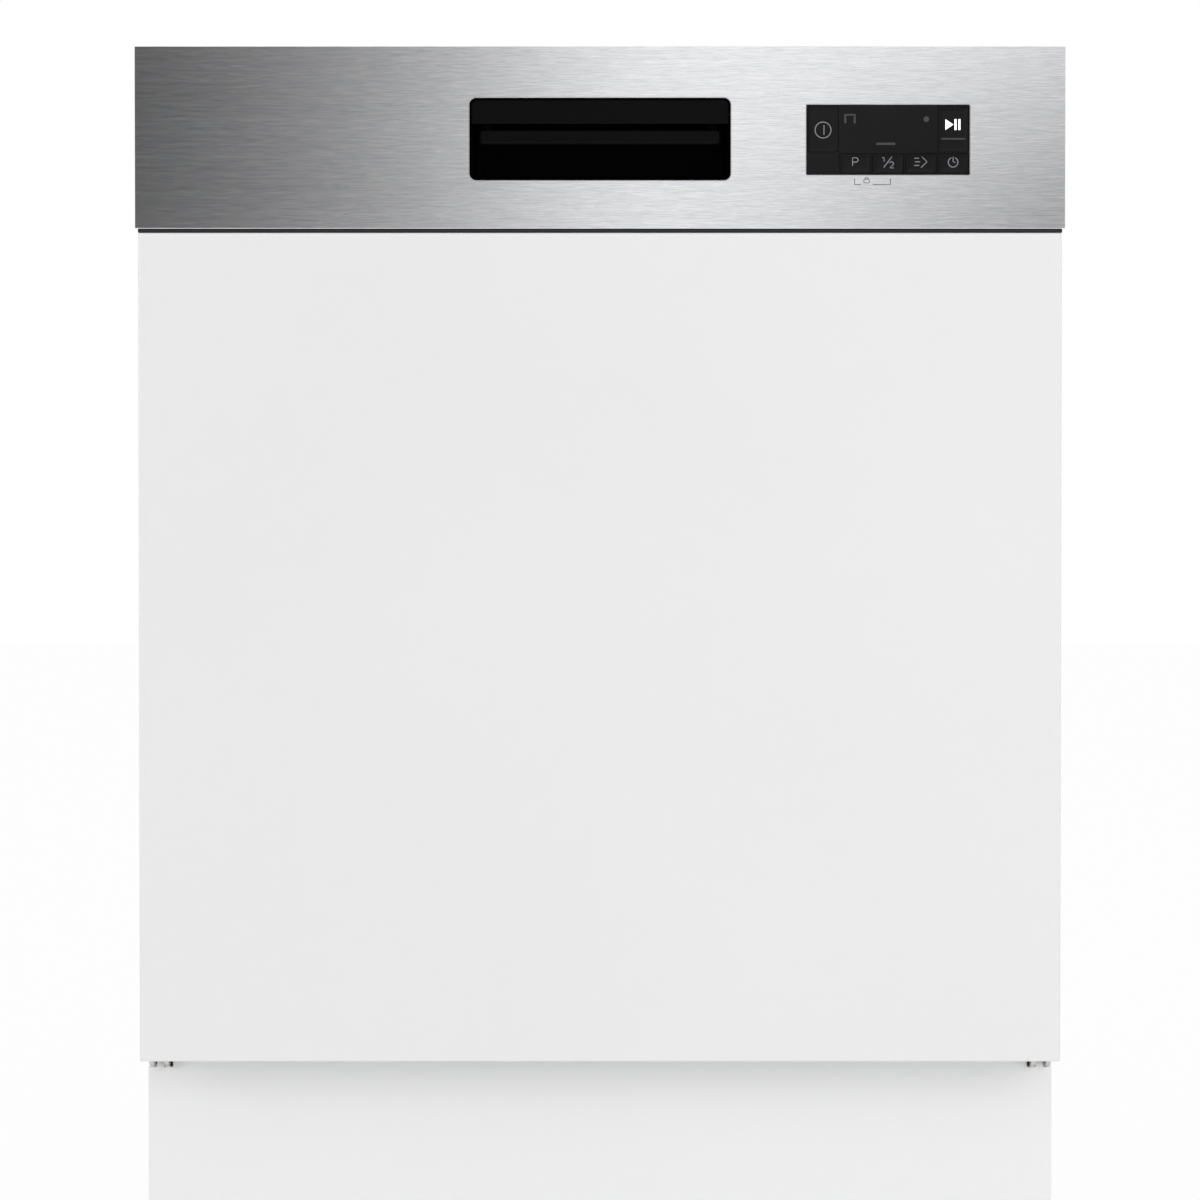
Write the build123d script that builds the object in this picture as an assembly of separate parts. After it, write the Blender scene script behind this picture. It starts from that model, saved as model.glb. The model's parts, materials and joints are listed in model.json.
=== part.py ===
from build123d import *
import os

# Built-in dishwasher, in millimetres. +Z is up, the door faces -Y and +X is to the right.
# The origin is at floor level, in the middle of the machine's outline, with the feet screwed in.

os.makedirs("parts", exist_ok=True)

# ---- machine ----
machine_width = 598          # across the control fascia
machine_depth = 570          # decor panel front to rear panel
machine_height = 820         # floor to the top of the front crossbar
sheet = 1.0                  # casing, door and tub steel
touch_gap = 0.3              # between pieces that rest or run near each other
running_fit = 0.05           # radial clearance of a pin or shaft in its bore

# ---- control fascia and what it frames ----
fascia_height = 117
fascia_top_gap = 3           # fascia top to worktop line
fascia_return = 18           # depth of the folded edges
housing_wall = 2.5
pocket_width = 168
pocket_height = 53
pocket_corner = 4.5
pocket_top_margin = 33       # fascia top to pocket
pocket_depth = 36
pocket_wall = 2
apron_height = 16.5          # plate that hides the lever's pivot
apron_recess = 2
lever_slot = 3               # between apron and lever
lever_height = 10
lever_width = 156
lever_thickness = 8
lever_recess = 6             # fascia face to lever face
lever_pin_radius = 2
lever_pivot_depth = 23
lever_pivot_drop = 10        # below the pocket's top
lever_web = 3
lever_web_half = 2
lever_tail_half = 8
lever_tail_rise = 3          # above the pocket
keypad_right_margin = 61.5   # display bezel to the fascia's edge
keypad_top_margin = 37.4
keypad_columns = 5
key_pitch = 21
upper_key_height = 31
lower_key_height = 14
key_gap = 0.25
key_depth = 5
key_travel = 1.2
key_recess = 0.2             # key face below the bezel's face
switch_width = 6
board_thickness = 1.6
board_side_margin = 14
board_edge_margin = 2
plug_inset = 20              # board's edge to its plug
plug_length = 40
plug_depth = 9
plug_rise = 6
plug_height = 18
bezel_thickness = 3
bezel_rim = 0.8
bezel_rib = 0.7              # between neighbouring keys
flange_lap = 3               # flanges that hold bezel and pocket behind the housing
flange_thickness = 1.5

# ---- decor panel and plinth ----
decor_side_gap = 2           # fascia edge to decor panel edge
decor_bottom = 163.5         # decor panel above the floor
decor_thickness = 18
decor_gap = 2.5              # fascia to decor panel
plinth_thickness = 16
plinth_setback = 55
plinth_top_gap = 6.5         # decor panel to plinth, height
plinth_floor_gap = 4
plinth_notch = 9             # depth of the notches under the hinges

# ---- door ----
door_side_gap = 7            # fascia edge to the door's steel
door_shell_depth = 40
hinge_ahead = 5              # hinge axis in front of the plinth
hinge_drop = 3.5             # hinge axis below the decor panel
door_foot_gap = 8            # hinge axis to the door's steel
dish_depth = 19              # inner panel stands into the tub mouth
dish_side_gap = 8            # tub wall to dish
dish_bottom_margin = 26      # door's lower edge to the dish
dish_top_margin = 22
hinge_pin_radius = 4
hinge_arm_thickness = 3
hinge_arm_height = 170
hinge_arm_side_gap = 10      # side panel's inner face to the arm
hinge_arm_flange = 14        # screwed to the door's steel
hinge_arm_rise = 4           # door's foot to the flange
hinge_arm_foot = 20
hinge_arm_behind = 5         # axis to the arm's rear edge
hinge_eye_radius = 7
hinge_tail_reach = 24
hinge_tail_height = 8
hinge_plate_drop = 14        # below the hinge axis
hinge_pin_end = 2            # pin beyond the arm
spring_pin_radius = 3
spring_pin_inset = 10
spring_hook = 16             # straight wire before the coil
hinge_plate_thickness = 3
hinge_plate_length = 212
spring_radius = 7
spring_length = 120
spring_wire = 1.5

# ---- dispenser in the door ----
dispenser_width = 200
dispenser_height = 130
dispenser_x = 40
dispenser_rise = 302         # above the tub floor
dispenser_depth = 30
dispenser_rim = 2
cup_width = 62
cup_height = 84
cup_depth = 24
lid_thickness = 3
lid_lap = 4
rinse_cap_radius = 22
rinse_cap_height = 5

# ---- tub ----
tub_side_gap = 24            # side panel to tub
seal_depth = 9
tub_back_gap = 23            # tub back wall to the rear panel's outer face
tub_top_gap = 21             # tub ceiling to the crossbar's top
ledge_width = 32             # wheel ledges along the tub floor
ledge_height = 20
seal_width = 7
mat_thickness = 8
top_mat_thickness = 12
back_mat_thickness = 14
flange_height = 13

# ---- casing and base ----
tray_floor_z = 30
tray_height = 80
tray_wall = 3
tray_rear_recess = 35        # service space under the rear panel
side_flange = 10
bead_width = 14
bead_depth = 1.5
bead_top_gap = 50
bead_foot_gap = 12
rear_bead_spacing = 170
rear_bead_margin = 60
rear_top_drop = 20
rear_foot_rise = 2           # above the tray's rim
bead_inset = 60              # panel edge to an upright bead
low_bead_rise = 300
high_bead_rise = 520
foot_pad_radius = 19
foot_pad_height = 10
foot_rod_radius = 5
foot_rod_length = 90
foot_boss_radius = 12
foot_boss_height = 30
foot_side_inset = 36
foot_front_inset = 30
foot_rear_inset = 35
crossbar_depth = 32
crossbar_wall = 1.5
worktop_hole_radius = 2.25
worktop_hole_spacing = 460
strike_width = 12
strike_thickness = 4
strike_length = 23
strike_clearance = 3         # latch mouth round the strike
screw_head_radius = 4
screw_head_height = 2.2
screw_shank_radius = 1.8
screw_length = 8
screw_inset = 35             # crossbar to the first screw
screw_pitch = 120
side_top_drop = 8            # side panels end below the crossbar's top

# ---- water system ----
arm_x = 0
arm_offset = 7.5             # spray arms turn this far in front of the tub's middle
arm_post_radius = 15
lower_arm_clearance = 7      # arm tip to the closed door's inner panel
upper_arm_clearance = 24
arm_rise = 22                # tub floor to the lower arm
arm_root_width = 62
arm_tip_width = 34
arm_thickness = 14
arm_hub_radius = 27
arm_pin_end = 3              # upper arm's pin ends this far below the arm
filter_x = 90
filter_offset = 85           # in front of the spray arms' axis
sump_radius = 62
sump_depth = 88
sump_wall = 3
sump_flange = 12
channel_half = 25            # channel from the sump to the spray arms
channel_drop = 6             # under the tub floor to the channel
channel_height = 44
channel_width = 50
arm_post_wall = 4
filter_plate_radius = 78
filter_plate_thickness = 1.5
filter_cup_radius = 42
filter_cup_depth = 64
salt_side_gap = 149          # fascia's left edge to the salt container's middle
salt_offset = 75
salt_width = 130
salt_length = 150
salt_depth = 96
salt_neck_radius = 32
salt_cap_radius = 34
salt_cap_height = 14
salt_cap_step = 6            # grip above the cap's disc
salt_grip_half = 5
salt_neck_wall = 4
salt_neck_drop = 12
salt_plug_depth = 10
pump_offset = 80             # behind the spray arms' axis
pump_drop = 76               # below the tub floor
pump_head_radius = 48
pump_head_length = 38
motor_radius = 37
motor_length = 96
pump_port_radius = 18
pump_port_rise = 6           # pump axis to its port
pump_face_cut = 4            # flat on the head's front
pump_cap_radius = 18
pump_cap_length = 12
pump_elbow_lead = 4
pump_elbow_dip = 10
pump_foot_half = 6
pump_foot_reach = 18
pump_foot_inset = 20
pump_foot_top = 20           # below the pump's axis
outlet_pipe_radius = 13
drain_pump_radius = 27
drain_pump_length = 62
drain_pump_lap = 2           # into the sump's outline
drain_pump_rise = 6          # above the sump's bottom
drain_cap_radius = 10
drain_cap_length = 10
drain_port_radius = 9
drain_port_reach = 44
drain_port_inset = 20
riser_width = 40
riser_thickness = 14
nozzle_radius = 26
inlet_thread_radius = 13.2   # G 3/4 hose thread
inlet_thread_length = 14
inlet_side_gap = 79          # fascia's left edge to the inlet
inlet_z = 66
valve_half_width = 22
valve_half_height = 20
valve_depth = 34
valve_coil_radius = 13
valve_coil_height = 22
valve_bore = 8
valve_collar = 6             # width and length of the collar round the nose
valve_nose_step = 12         # tray's back to the thread
drain_spigot_radius = 10.5
drain_spigot_bore = 8.5
drain_spigot_length = 30
drain_spigot_side_gap = 169  # fascia's left edge to the spigot
drain_spigot_z = 78
gland_radius = 12
gland_bore = 4.5
gland_length = 16
gland_side_gap = 79          # fascia's right edge to the gland
gland_z = 70

# ---- racks ----
wire = 4                     # rack wires
rack_pitch = 35
rack_wall_gap = 41           # tub wall to rack side
rack_front_gap = 25          # inner door panel to rack
rack_back_gap = 23           # tub back wall to rack
rack_floor_rise = 36         # wheel ledge to the lower rack's floor
lower_rack_height = 186
wheel_radius = 18
wheel_width = 14
wheel_gap = 12               # rack side to wheel
wheel_pin_radius = 3
wheel_stop = 3               # end of the axle pin beyond the wheel
front_wheel_inset = 137      # rack front to wheel axis
rear_wheel_inset = 49
tine_radius = 1.75
tine_height = 82
tine_inset = 30              # rack side to a fixed row's end
upper_tine_height = 52
upper_tine_x0 = 20
upper_tine_inset = 40
grip_half = 70
grip_depth = 16
grip_drop = 22               # below the rack's rim
grip_rise = 6                # above it
basket_width = 236
basket_length = 108
basket_height = 116
basket_wall = 2
basket_rib = 2               # dividers
basket_rib_drop = 4          # below the rim
basket_cells = 4
handle_half = 60
handle_rise = 46
handle_depth = 10
handle_bar = 9
handle_leg = 10
basket_x = -40
fold_row_inset = 169         # rack back to the folding row
fold_row_x0, fold_row_x1 = -105, 210
fold_pin_radius = 2
clip_offset = 6              # end pin of the folding row to its clip
clip_thickness = 4
clip_half = 6
rack_spacing = 80            # lower rack's rim to the upper rack
upper_rack_height = 120
rail_rise = 42               # upper rack's floor to the rails' middle
rail_back_gap = 24           # rails to the tub's back wall
rail_height = 26
rail_depth = 13
rail_wall = 1.5
rail_mouth = 12              # slot of a rail channel
rail_web = 10
rack_web_half = 9            # web between a rack's side and its rail channel
rail_side_gap = 4.3          # between fixed and rack channels
shelf_rise = 85
shelf_reach = 92
shelf_pin_radius = 2.5
shelf_clip_half = 3
shelf_clip_reach = 16
shelf_length = 210
shelf_y = 5
feed_height = 9

# ---- places worked out from the sizes above ----
front = -machine_depth / 2
back = machine_depth / 2
side = machine_width / 2
salt_x = salt_side_gap - side
inlet_x = inlet_side_gap - side
drain_spigot_x = drain_spigot_side_gap - side
gland_x = side - gland_side_gap
fascia_top = machine_height - fascia_top_gap
fascia_bottom = fascia_top - fascia_height
decor_back = front + decor_thickness
decor_top = fascia_bottom - decor_gap
plinth_front = front + plinth_setback
plinth_back = plinth_front + plinth_thickness
plinth_top = decor_bottom - plinth_top_gap
hinge_y = plinth_front - hinge_ahead
hinge_z = decor_bottom - hinge_drop
door_foot = hinge_z + door_foot_gap
door_seat = decor_back + door_shell_depth          # front face of the inner panel's flange
door_back = door_seat + sheet
dish_face = door_back + dish_depth
tub_front = door_back + seal_depth
tub_back_y = back - tub_back_gap                   # inner face of the back wall
tub_ceiling = machine_height - tub_top_gap - sheet
ledge_z = hinge_z + dish_face - hinge_y            # level with the open door
floor_z = ledge_z - ledge_height
panel_in = side - 2 * sheet                        # inner face of a side panel
panel_out = side - sheet
tub_half = panel_in - tub_side_gap
side_top = machine_height - side_top_drop
tray_front = plinth_back
tray_back = back - tray_rear_recess
tray_half = panel_in
tray_top = tray_floor_z + tray_height
arm_z = floor_z + arm_rise
arm_y = (tub_front + tub_back_y) / 2 - arm_offset
lower_arm_reach = arm_y - dish_face - lower_arm_clearance
upper_arm_reach = arm_y - dish_face - upper_arm_clearance
filter_y = arm_y - filter_offset
salt_y = arm_y - salt_offset
pump_y = arm_y + pump_offset
pump_z = floor_z - pump_drop
dispenser_z = floor_z + dispenser_rise
rack_side = tub_half - sheet - rack_wall_gap
rack_front = dish_face + rack_front_gap
rack_back = tub_back_y - rack_back_gap
lower_floor = ledge_z + rack_floor_rise
lower_rim = lower_floor + lower_rack_height
upper_rack_z = lower_rim + rack_spacing
upper_rim = upper_rack_z + upper_rack_height
rail_z = upper_rack_z + rail_rise
rail_length = tub_back_y - rail_back_gap - rack_front
shelf_z = upper_rack_z + shelf_rise
front_wheel_y = rack_front + front_wheel_inset
rear_wheel_y = rack_back - rear_wheel_inset
fold_row_y = rack_back - fold_row_inset
wheel_z = ledge_z + wheel_radius + touch_gap
wheel_x = rack_side + wheel_gap + wheel_width / 2
upper_arm_z = upper_rack_z - feed_height - touch_gap - arm_thickness
pocket_top = fascia_top - pocket_top_margin
pocket_bottom = pocket_top - pocket_height
keypad_width = keypad_columns * key_pitch
keypad_x0 = side - keypad_right_margin - keypad_width
keypad_height = upper_key_height + lower_key_height
keypad_top = fascia_top - keypad_top_margin
keypad_bottom = keypad_top - keypad_height
key_row_z = keypad_bottom + lower_key_height
arm_outer = panel_in - hinge_arm_side_gap
strike_z = tub_ceiling + seal_width + strike_thickness / 2 - 1


# ---- small helpers ----
def grown(ends, margin):
    """A pair of coordinates, pushed apart by margin at each end."""
    return (ends[0] - margin, ends[1] + margin)


def block(x, y, z):
    """A box between pairs of coordinates."""
    size = Box(x[1] - x[0], y[1] - y[0], z[1] - z[0])
    return Pos((x[0] + x[1]) / 2, (y[0] + y[1]) / 2, (z[0] + z[1]) / 2) * size


def rod(axis, ends, place, radius):
    """A round bar along X, Y or Z; place holds its two other coordinates."""
    turn = {"x": Rot(0, 90, 0), "y": Rot(90, 0, 0), "z": Rot(0, 0, 0)}[axis]
    middle = (ends[0] + ends[1]) / 2
    spot = {
        "x": (middle, place[0], place[1]),
        "y": (place[0], middle, place[1]),
        "z": (place[0], place[1], middle),
    }[axis]
    return Pos(*spot) * turn * Cylinder(radius, ends[1] - ends[0])


def tube(axis, ends, place, radius, bore):
    return rod(axis, ends, place, radius) - rod(axis, ends, place, bore)


def other_side(piece):
    return mirror(piece, about=Plane.YZ)


def rounded_plate(x, y, z, radius):
    """A box whose edges along Y are rounded."""
    plate = block(x, y, z)
    return fillet(plate.edges().filter_by(Axis.Y), radius)


def shell_box(x, y, z, wall, open_faces):
    """A box with thin walls; open_faces names the missing ones, such as 'top' and 'back'."""
    inner_x = [x[0] + wall, x[1] - wall]
    inner_y = [y[0] + wall, y[1] - wall]
    inner_z = [z[0] + wall, z[1] - wall]
    if "front" in open_faces:
        inner_y[0] = y[0]
    if "back" in open_faces:
        inner_y[1] = y[1]
    if "top" in open_faces:
        inner_z[1] = z[1]
    if "bottom" in open_faces:
        inner_z[0] = z[0]
    return block(x, y, z) - block(inner_x, inner_y, inner_z)


# ---- casing ----
def foot_places():
    x = panel_in - foot_side_inset
    y0 = tray_front + foot_front_inset
    y1 = tray_back - foot_rear_inset
    return {
        "foot_front_left": (-x, y0),
        "foot_front_right": (x, y0),
        "foot_rear_left": (-x, y1),
        "foot_rear_right": (x, y1),
    }


def base_tray():
    tray = shell_box((-tray_half, tray_half), (tray_front, tray_back), (tray_floor_z, tray_top),
                     tray_wall, ["top"])
    boss_top = tray_floor_z + foot_boss_height
    rear_wall = tray_back - tray_wall
    for place in foot_places().values():
        tray += rod("z", (tray_floor_z, boss_top), place, foot_boss_radius)
    for place in foot_places().values():
        tray -= rod("z", (tray_floor_z, boss_top), place, foot_rod_radius + running_fit)
    spigot = (drain_spigot_x, drain_spigot_z)
    gland = (gland_x, gland_z)
    tray += rod("y", (rear_wall, tray_back + drain_spigot_length), spigot, drain_spigot_radius)
    tray -= rod("y", (rear_wall, tray_back + drain_spigot_length), spigot, drain_spigot_bore)
    tray += rod("y", (rear_wall, tray_back + gland_length), gland, gland_radius)
    tray -= rod("y", (rear_wall, tray_back + gland_length), gland, gland_bore)
    tray -= rod("y", (rear_wall, tray_back), (inlet_x, inlet_z), inlet_thread_radius + running_fit)
    return [tray]


def foot(place):
    pad = rod("z", (0, foot_pad_height), place, foot_pad_radius)
    nut = extrude(RegularPolygon(foot_boss_radius, 6), foot_pad_height)
    neck = Pos(place[0], place[1], foot_pad_height) * nut
    stem = rod("z", (foot_pad_height, foot_pad_height + foot_rod_length), place, foot_rod_radius)
    return [pad + neck + stem]


def side_panel():
    """The right-hand panel."""
    z0, z1 = tray_floor_z + 4, side_top
    y0, y1 = tub_front + sheet, back - sheet
    panel = block((panel_in, panel_out), (y0, y1), (z0, z1))
    upright = (ledge_z + bead_foot_gap, z1 - bead_top_gap)
    level = (y0 + 1.5 * bead_inset, y1 - 1.5 * bead_inset)
    bead_half = bead_width / 2
    beads = [(grown((y, y), bead_half), upright) for y in (y0 + bead_inset, y1 - bead_inset)]
    beads += [(level, grown((z, z), bead_half)) for z in (z0 + low_bead_rise, z0 + high_bead_rise)]
    for bead_y, bead_z in beads:
        panel += block((panel_in - bead_depth, panel_in), grown(bead_y, sheet), grown(bead_z, sheet))
        panel -= block((panel_out - bead_depth, panel_out), bead_y, bead_z)
    panel += block((panel_in - side_flange, panel_in), (y0 + crossbar_depth, y1 - 2), (z1 - sheet, z1))
    panel += block((panel_in - side_flange, panel_in), (y0, y0 + sheet), (ledge_z + 8, z1))
    for x, y in screw_places():
        if x > 0:
            panel -= rod("z", (z1 - sheet, z1), (x, y), screw_shank_radius + running_fit)
    panel -= block((panel_in, panel_out), (y0, plinth_back), (z0, plinth_top - plinth_notch))
    return panel


def rear_panel():
    z0, z1 = tray_top + rear_foot_rise, machine_height - rear_top_drop
    y0, y1 = back - sheet, back
    half = panel_in
    panel = block((-half, half), (y0, y1), (z0, z1))
    upright = (z0 + rear_bead_margin, z1 - rear_bead_margin)
    for bead_x in (-rear_bead_spacing, 0, rear_bead_spacing):
        bead = grown((bead_x, bead_x), bead_width / 2)
        panel += block(grown(bead, sheet), (y0 - bead_depth, y0), grown(upright, sheet))
        panel -= block(bead, (y1 - bead_depth, y1), upright)
    for x0 in (-half, half - sheet):
        panel += block((x0, x0 + sheet), (y0 - side_flange, y0), (z0, z1))
    panel += block((-half, half), (y0 - side_flange, y0), (z0, z0 + sheet))
    return [panel]


def insulation_mats():
    y0, y1 = tub_front + 6, tub_back_y
    z0, z1 = ledge_z + 12, tub_ceiling + sheet
    right = block((tub_half, tub_half + mat_thickness), (y0, y1), (z0, z1))
    over = block((-tub_half, tub_half), (tub_front + sheet + crossbar_depth, y1),
                 (z1, z1 + top_mat_thickness))
    rear = block((-tub_half, tub_half), (tub_back_y + sheet, tub_back_y + sheet + back_mat_thickness),
                 (z0, z1))
    return [right, other_side(right), over, rear]


def front_crossbar():
    z0, z1 = tub_ceiling + sheet, machine_height
    y0 = tub_front + sheet
    half = panel_in - side_flange - sheet
    bar = block((-half, half), (y0, y0 + crossbar_depth), (z0, z1))
    bar -= block((-half, half), (y0 + crossbar_wall, y0 + crossbar_depth - crossbar_wall),
                 (z0, z1 - crossbar_wall))
    for ear_x in (-half, half):
        ends = (ear_x - side_flange, ear_x) if ear_x < 0 else (ear_x, ear_x + side_flange)
        bar += block(ends, (y0 + sheet, y0 + crossbar_depth), (z1 - crossbar_wall, z1))
    for hole_x in (-worktop_hole_spacing / 2, worktop_hole_spacing / 2):
        bar -= rod("z", (z1 - crossbar_wall, z1), (hole_x, y0 + crossbar_depth / 2), worktop_hole_radius)
    bar += block((-strike_width / 2, strike_width / 2), (y0 - strike_length, y0 + crossbar_wall),
                 (strike_z, strike_z + strike_thickness))
    return [bar]


def screw_places():
    x = panel_in - side_flange / 2
    y0 = tub_front + crossbar_depth + screw_inset
    return [(sign * x, y0 + step * screw_pitch) for step in range(4) for sign in (-1, 1)]


def casing_screws():
    """Screws through the side panels' top flanges."""
    screws = []
    for place in screw_places():
        head = rod("z", (side_top, side_top + screw_head_height), place, screw_head_radius)
        shank = rod("z", (side_top - screw_length, side_top), place, screw_shank_radius)
        screws.append(head + shank)
    return screws


def plinth_panel():
    """A board with a notch under each hinge."""
    y = (plinth_front, plinth_back)
    board = block((-side, side), y, (plinth_floor_gap, plinth_top))
    notch_x = arm_outer - hinge_arm_thickness - 5
    notch_z = (plinth_top - plinth_notch, plinth_top)
    return [board - block((-side, -notch_x), y, notch_z) - block((notch_x, side), y, notch_z)]


# ---- tub ----
def tub_wrap():
    z0 = floor_z
    outer = block((-tub_half, tub_half), (tub_front, tub_back_y + sheet), (z0, tub_ceiling + sheet))
    inner = block((-tub_half + sheet, tub_half - sheet), (tub_front, tub_back_y + sheet), (z0, tub_ceiling))
    wrap = outer - inner
    rim_half = panel_in - sheet
    rim_top = tub_ceiling + sheet + flange_height
    rim = block((-rim_half, rim_half), (tub_front, tub_front + sheet), (z0, rim_top))
    rim -= block((-tub_half + sheet, tub_half - sheet), (tub_front, tub_front + sheet), (z0, tub_ceiling))
    notch_z = ledge_z + 6                      # room for the hinge arms' tails
    for ends in ((-rim_half, -tub_half - side_flange), (tub_half + side_flange, rim_half)):
        rim -= block(ends, (tub_front, tub_front + sheet), (z0, notch_z))
    rim -= strike_room(0, (tub_front, tub_front + sheet))
    return [wrap + rim]


def strike_room(margin, y):
    """The mouth that the strike passes through, larger all round by margin."""
    half = strike_width / 2 + 1 + margin
    return block((-half, half), y, (strike_z - 1 - margin, strike_z + strike_thickness + 1))


def tub_back():
    half = tub_half - sheet
    wall = block((-half, half), (tub_back_y, tub_back_y + sheet), (floor_z, tub_ceiling))
    return [wall]


def tub_floor():
    half = tub_half - sheet
    ledge_in = half - ledge_width
    step = ledge_in - 5
    outline = [(-half, ledge_z), (-ledge_in, ledge_z), (-step, floor_z), (step, floor_z),
               (ledge_in, ledge_z), (half, ledge_z)]
    under = [(half, ledge_z - sheet), (ledge_in + sheet / 2, ledge_z - sheet),
             (step + sheet / 2, floor_z - sheet), (-step - sheet / 2, floor_z - sheet),
             (-ledge_in - sheet / 2, ledge_z - sheet), (-half, ledge_z - sheet)]
    section = make_face(Polyline(*outline, *under, close=True))
    plate = Pos(0, tub_back_y, 0) * extrude(Plane.XZ * section, tub_back_y - tub_front)
    sill = block((-half, half), (tub_front, tub_front + sheet), (floor_z - sheet, ledge_z))
    plate += sill
    plate -= rod("z", (floor_z - sheet, floor_z), (filter_x, filter_y), sump_radius - sump_wall)
    plate -= rod("z", (floor_z - sheet, floor_z), (salt_x, salt_y), salt_neck_radius + touch_gap)
    plate -= rod("z", (floor_z - sheet, floor_z), (arm_x, arm_y), arm_post_radius + touch_gap)
    riser_y = tub_back_y - riser_thickness
    plate -= block((-riser_width / 2, riser_width / 2), (riser_y, tub_back_y), (floor_z - sheet, floor_z))
    return [plate]


def tub_seal():
    inner = tub_half - sheet
    y0 = tub_front - seal_depth + touch_gap
    z1 = tub_ceiling
    seal = block((-inner - seal_width, inner + seal_width), (y0, tub_front), (ledge_z, z1 + seal_width))
    seal -= block((-inner, inner), (y0, tub_front), (ledge_z, z1))
    return [seal]


def rail_channel(x0, mouth):
    """A C-shaped rail, open towards -X when mouth is 'left' and towards +X when it is 'right'."""
    y0 = rack_front
    z0, z1 = rail_z - rail_height / 2, rail_z + rail_height / 2
    ends = (y0, y0 + rail_length)
    inner = (x0 + rail_wall, x0 + rail_depth - rail_wall)
    channel = block((x0, x0 + rail_depth), ends, (z0, z1))
    channel -= block(inner, ends, (z0 + rail_wall, z1 - rail_wall))
    lip = (x0, inner[0]) if mouth == "left" else (inner[1], x0 + rail_depth)
    channel -= block(lip, ends, (rail_z - rail_mouth / 2, rail_z + rail_mouth / 2))
    return channel


fixed_rail_x = tub_half - sheet - rail_depth
rack_rail_x = fixed_rail_x - rail_side_gap - rail_depth


def rail_channels():
    right = rail_channel(fixed_rail_x, "left")
    return [right, other_side(right)]


def rail_slides():
    """Slides with a flange in the fixed channel and one in the rack's channel."""
    ends = (rack_front, rack_front + rail_length)
    flange = rail_wall + touch_gap
    tall = rail_height / 2 - flange
    web = rail_web / 2
    right = block((rack_rail_x + flange, fixed_rail_x + rail_depth - flange), ends,
                  (rail_z - web, rail_z + web))
    right += block((fixed_rail_x + flange, fixed_rail_x + rail_depth - flange), ends,
                   (rail_z - tall, rail_z + tall))
    right += block((rack_rail_x + flange, rack_rail_x + rail_depth - flange), ends,
                   (rail_z - tall, rail_z + tall))
    return [right, other_side(right)]


# ---- water system ----
def sump():
    under = floor_z - sheet
    place = (filter_x, filter_y)
    bowl = rod("z", (under - sump_depth, under), place, sump_radius)
    bowl += rod("z", (under - sump_wall, under), place, sump_radius + sump_flange)
    channel_z = (under - channel_drop - channel_height, under - channel_drop)
    arm_box = block((arm_x - channel_half, filter_x), grown((arm_y, arm_y), channel_half), channel_z)
    bridge = block((filter_x - channel_width, filter_x), (filter_y, arm_y), channel_z)
    post_top = arm_z + arm_thickness / 2
    post = rod("z", (channel_z[0], post_top), (arm_x, arm_y), arm_post_radius)
    port_y = pump_y - pump_head_radius
    port_axis = (filter_x, pump_z + pump_port_rise)
    port = rod("y", (filter_y, port_y), port_axis, pump_port_radius)
    body = bowl + arm_box + bridge + post + port
    body -= rod("z", (under - sump_depth + sump_wall, under), place, sump_radius - sump_wall)
    body -= rod("z", (channel_z[0] + channel_drop, post_top), (arm_x, arm_y), arm_post_radius - arm_post_wall)
    body -= rod("y", (filter_y, port_y), port_axis, pump_port_radius - sump_wall)
    return [body]


def circulation_pump():
    head_x0 = filter_x - pump_head_length / 2
    head_x1 = filter_x + pump_head_length / 2
    pump = rod("x", (head_x0, head_x1), (pump_y, pump_z), pump_head_radius)
    pump += rod("x", (head_x1, head_x1 + motor_length), (pump_y, pump_z), motor_radius)
    motor_end = head_x1 + motor_length
    pump += rod("x", (motor_end, motor_end + pump_cap_length), (pump_y, pump_z), pump_cap_radius)
    top = pump_z + pump_head_radius
    head_front = pump_y - pump_head_radius
    port_y = (head_front, pump_y - pump_head_radius / 2)
    port_axis = (filter_x, pump_z + pump_port_rise)
    pump -= rod("y", port_y, port_axis, pump_port_radius - sump_wall)
    pump -= block((head_x0, head_x1), (head_front, head_front + pump_face_cut),
                  (pump_z - pump_head_radius, pump_z + pump_head_radius))
    pump += tube("y", port_y, port_axis, pump_port_radius, pump_port_radius - sump_wall)
    elbow_z = top + outlet_pipe_radius / 2
    elbow_x = filter_x - pump_elbow_lead
    pump += rod("z", (top - pump_elbow_dip, elbow_z), (elbow_x, pump_y), outlet_pipe_radius)
    pump += rod("x", (arm_x, elbow_x), (pump_y, elbow_z), outlet_pipe_radius)
    pump += Pos(elbow_x, pump_y, elbow_z) * Sphere(outlet_pipe_radius)
    pump += Pos(arm_x, pump_y, elbow_z) * Sphere(outlet_pipe_radius)
    pump += rod("y", (arm_y + channel_half, pump_y), (arm_x, elbow_z), outlet_pipe_radius)
    feet_z = tray_floor_z + tray_wall
    for foot_x in (filter_x, motor_end - pump_foot_inset):
        pump += block(grown((foot_x, foot_x), pump_foot_half), grown((pump_y, pump_y), pump_foot_reach),
                      (feet_z, pump_z - pump_foot_top))
    return [pump]


def drain_pump():
    """It hangs on the sump's left side, low down."""
    x1 = filter_x - sump_radius + drain_pump_lap
    x0 = x1 - drain_pump_length
    z = floor_z - sheet - sump_depth + drain_pump_radius + drain_pump_rise
    pump = rod("x", (x0, x1), (filter_y, z), drain_pump_radius)
    pump += rod("x", (x0 - drain_cap_length, x0), (filter_y, z), drain_cap_radius)
    pump += rod("y", (filter_y, filter_y + drain_port_reach), (x1 - drain_port_inset, z), drain_port_radius)
    bowl = rod("z", (0, floor_z), (filter_x, filter_y), sump_radius)
    return [pump - bowl]


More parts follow.
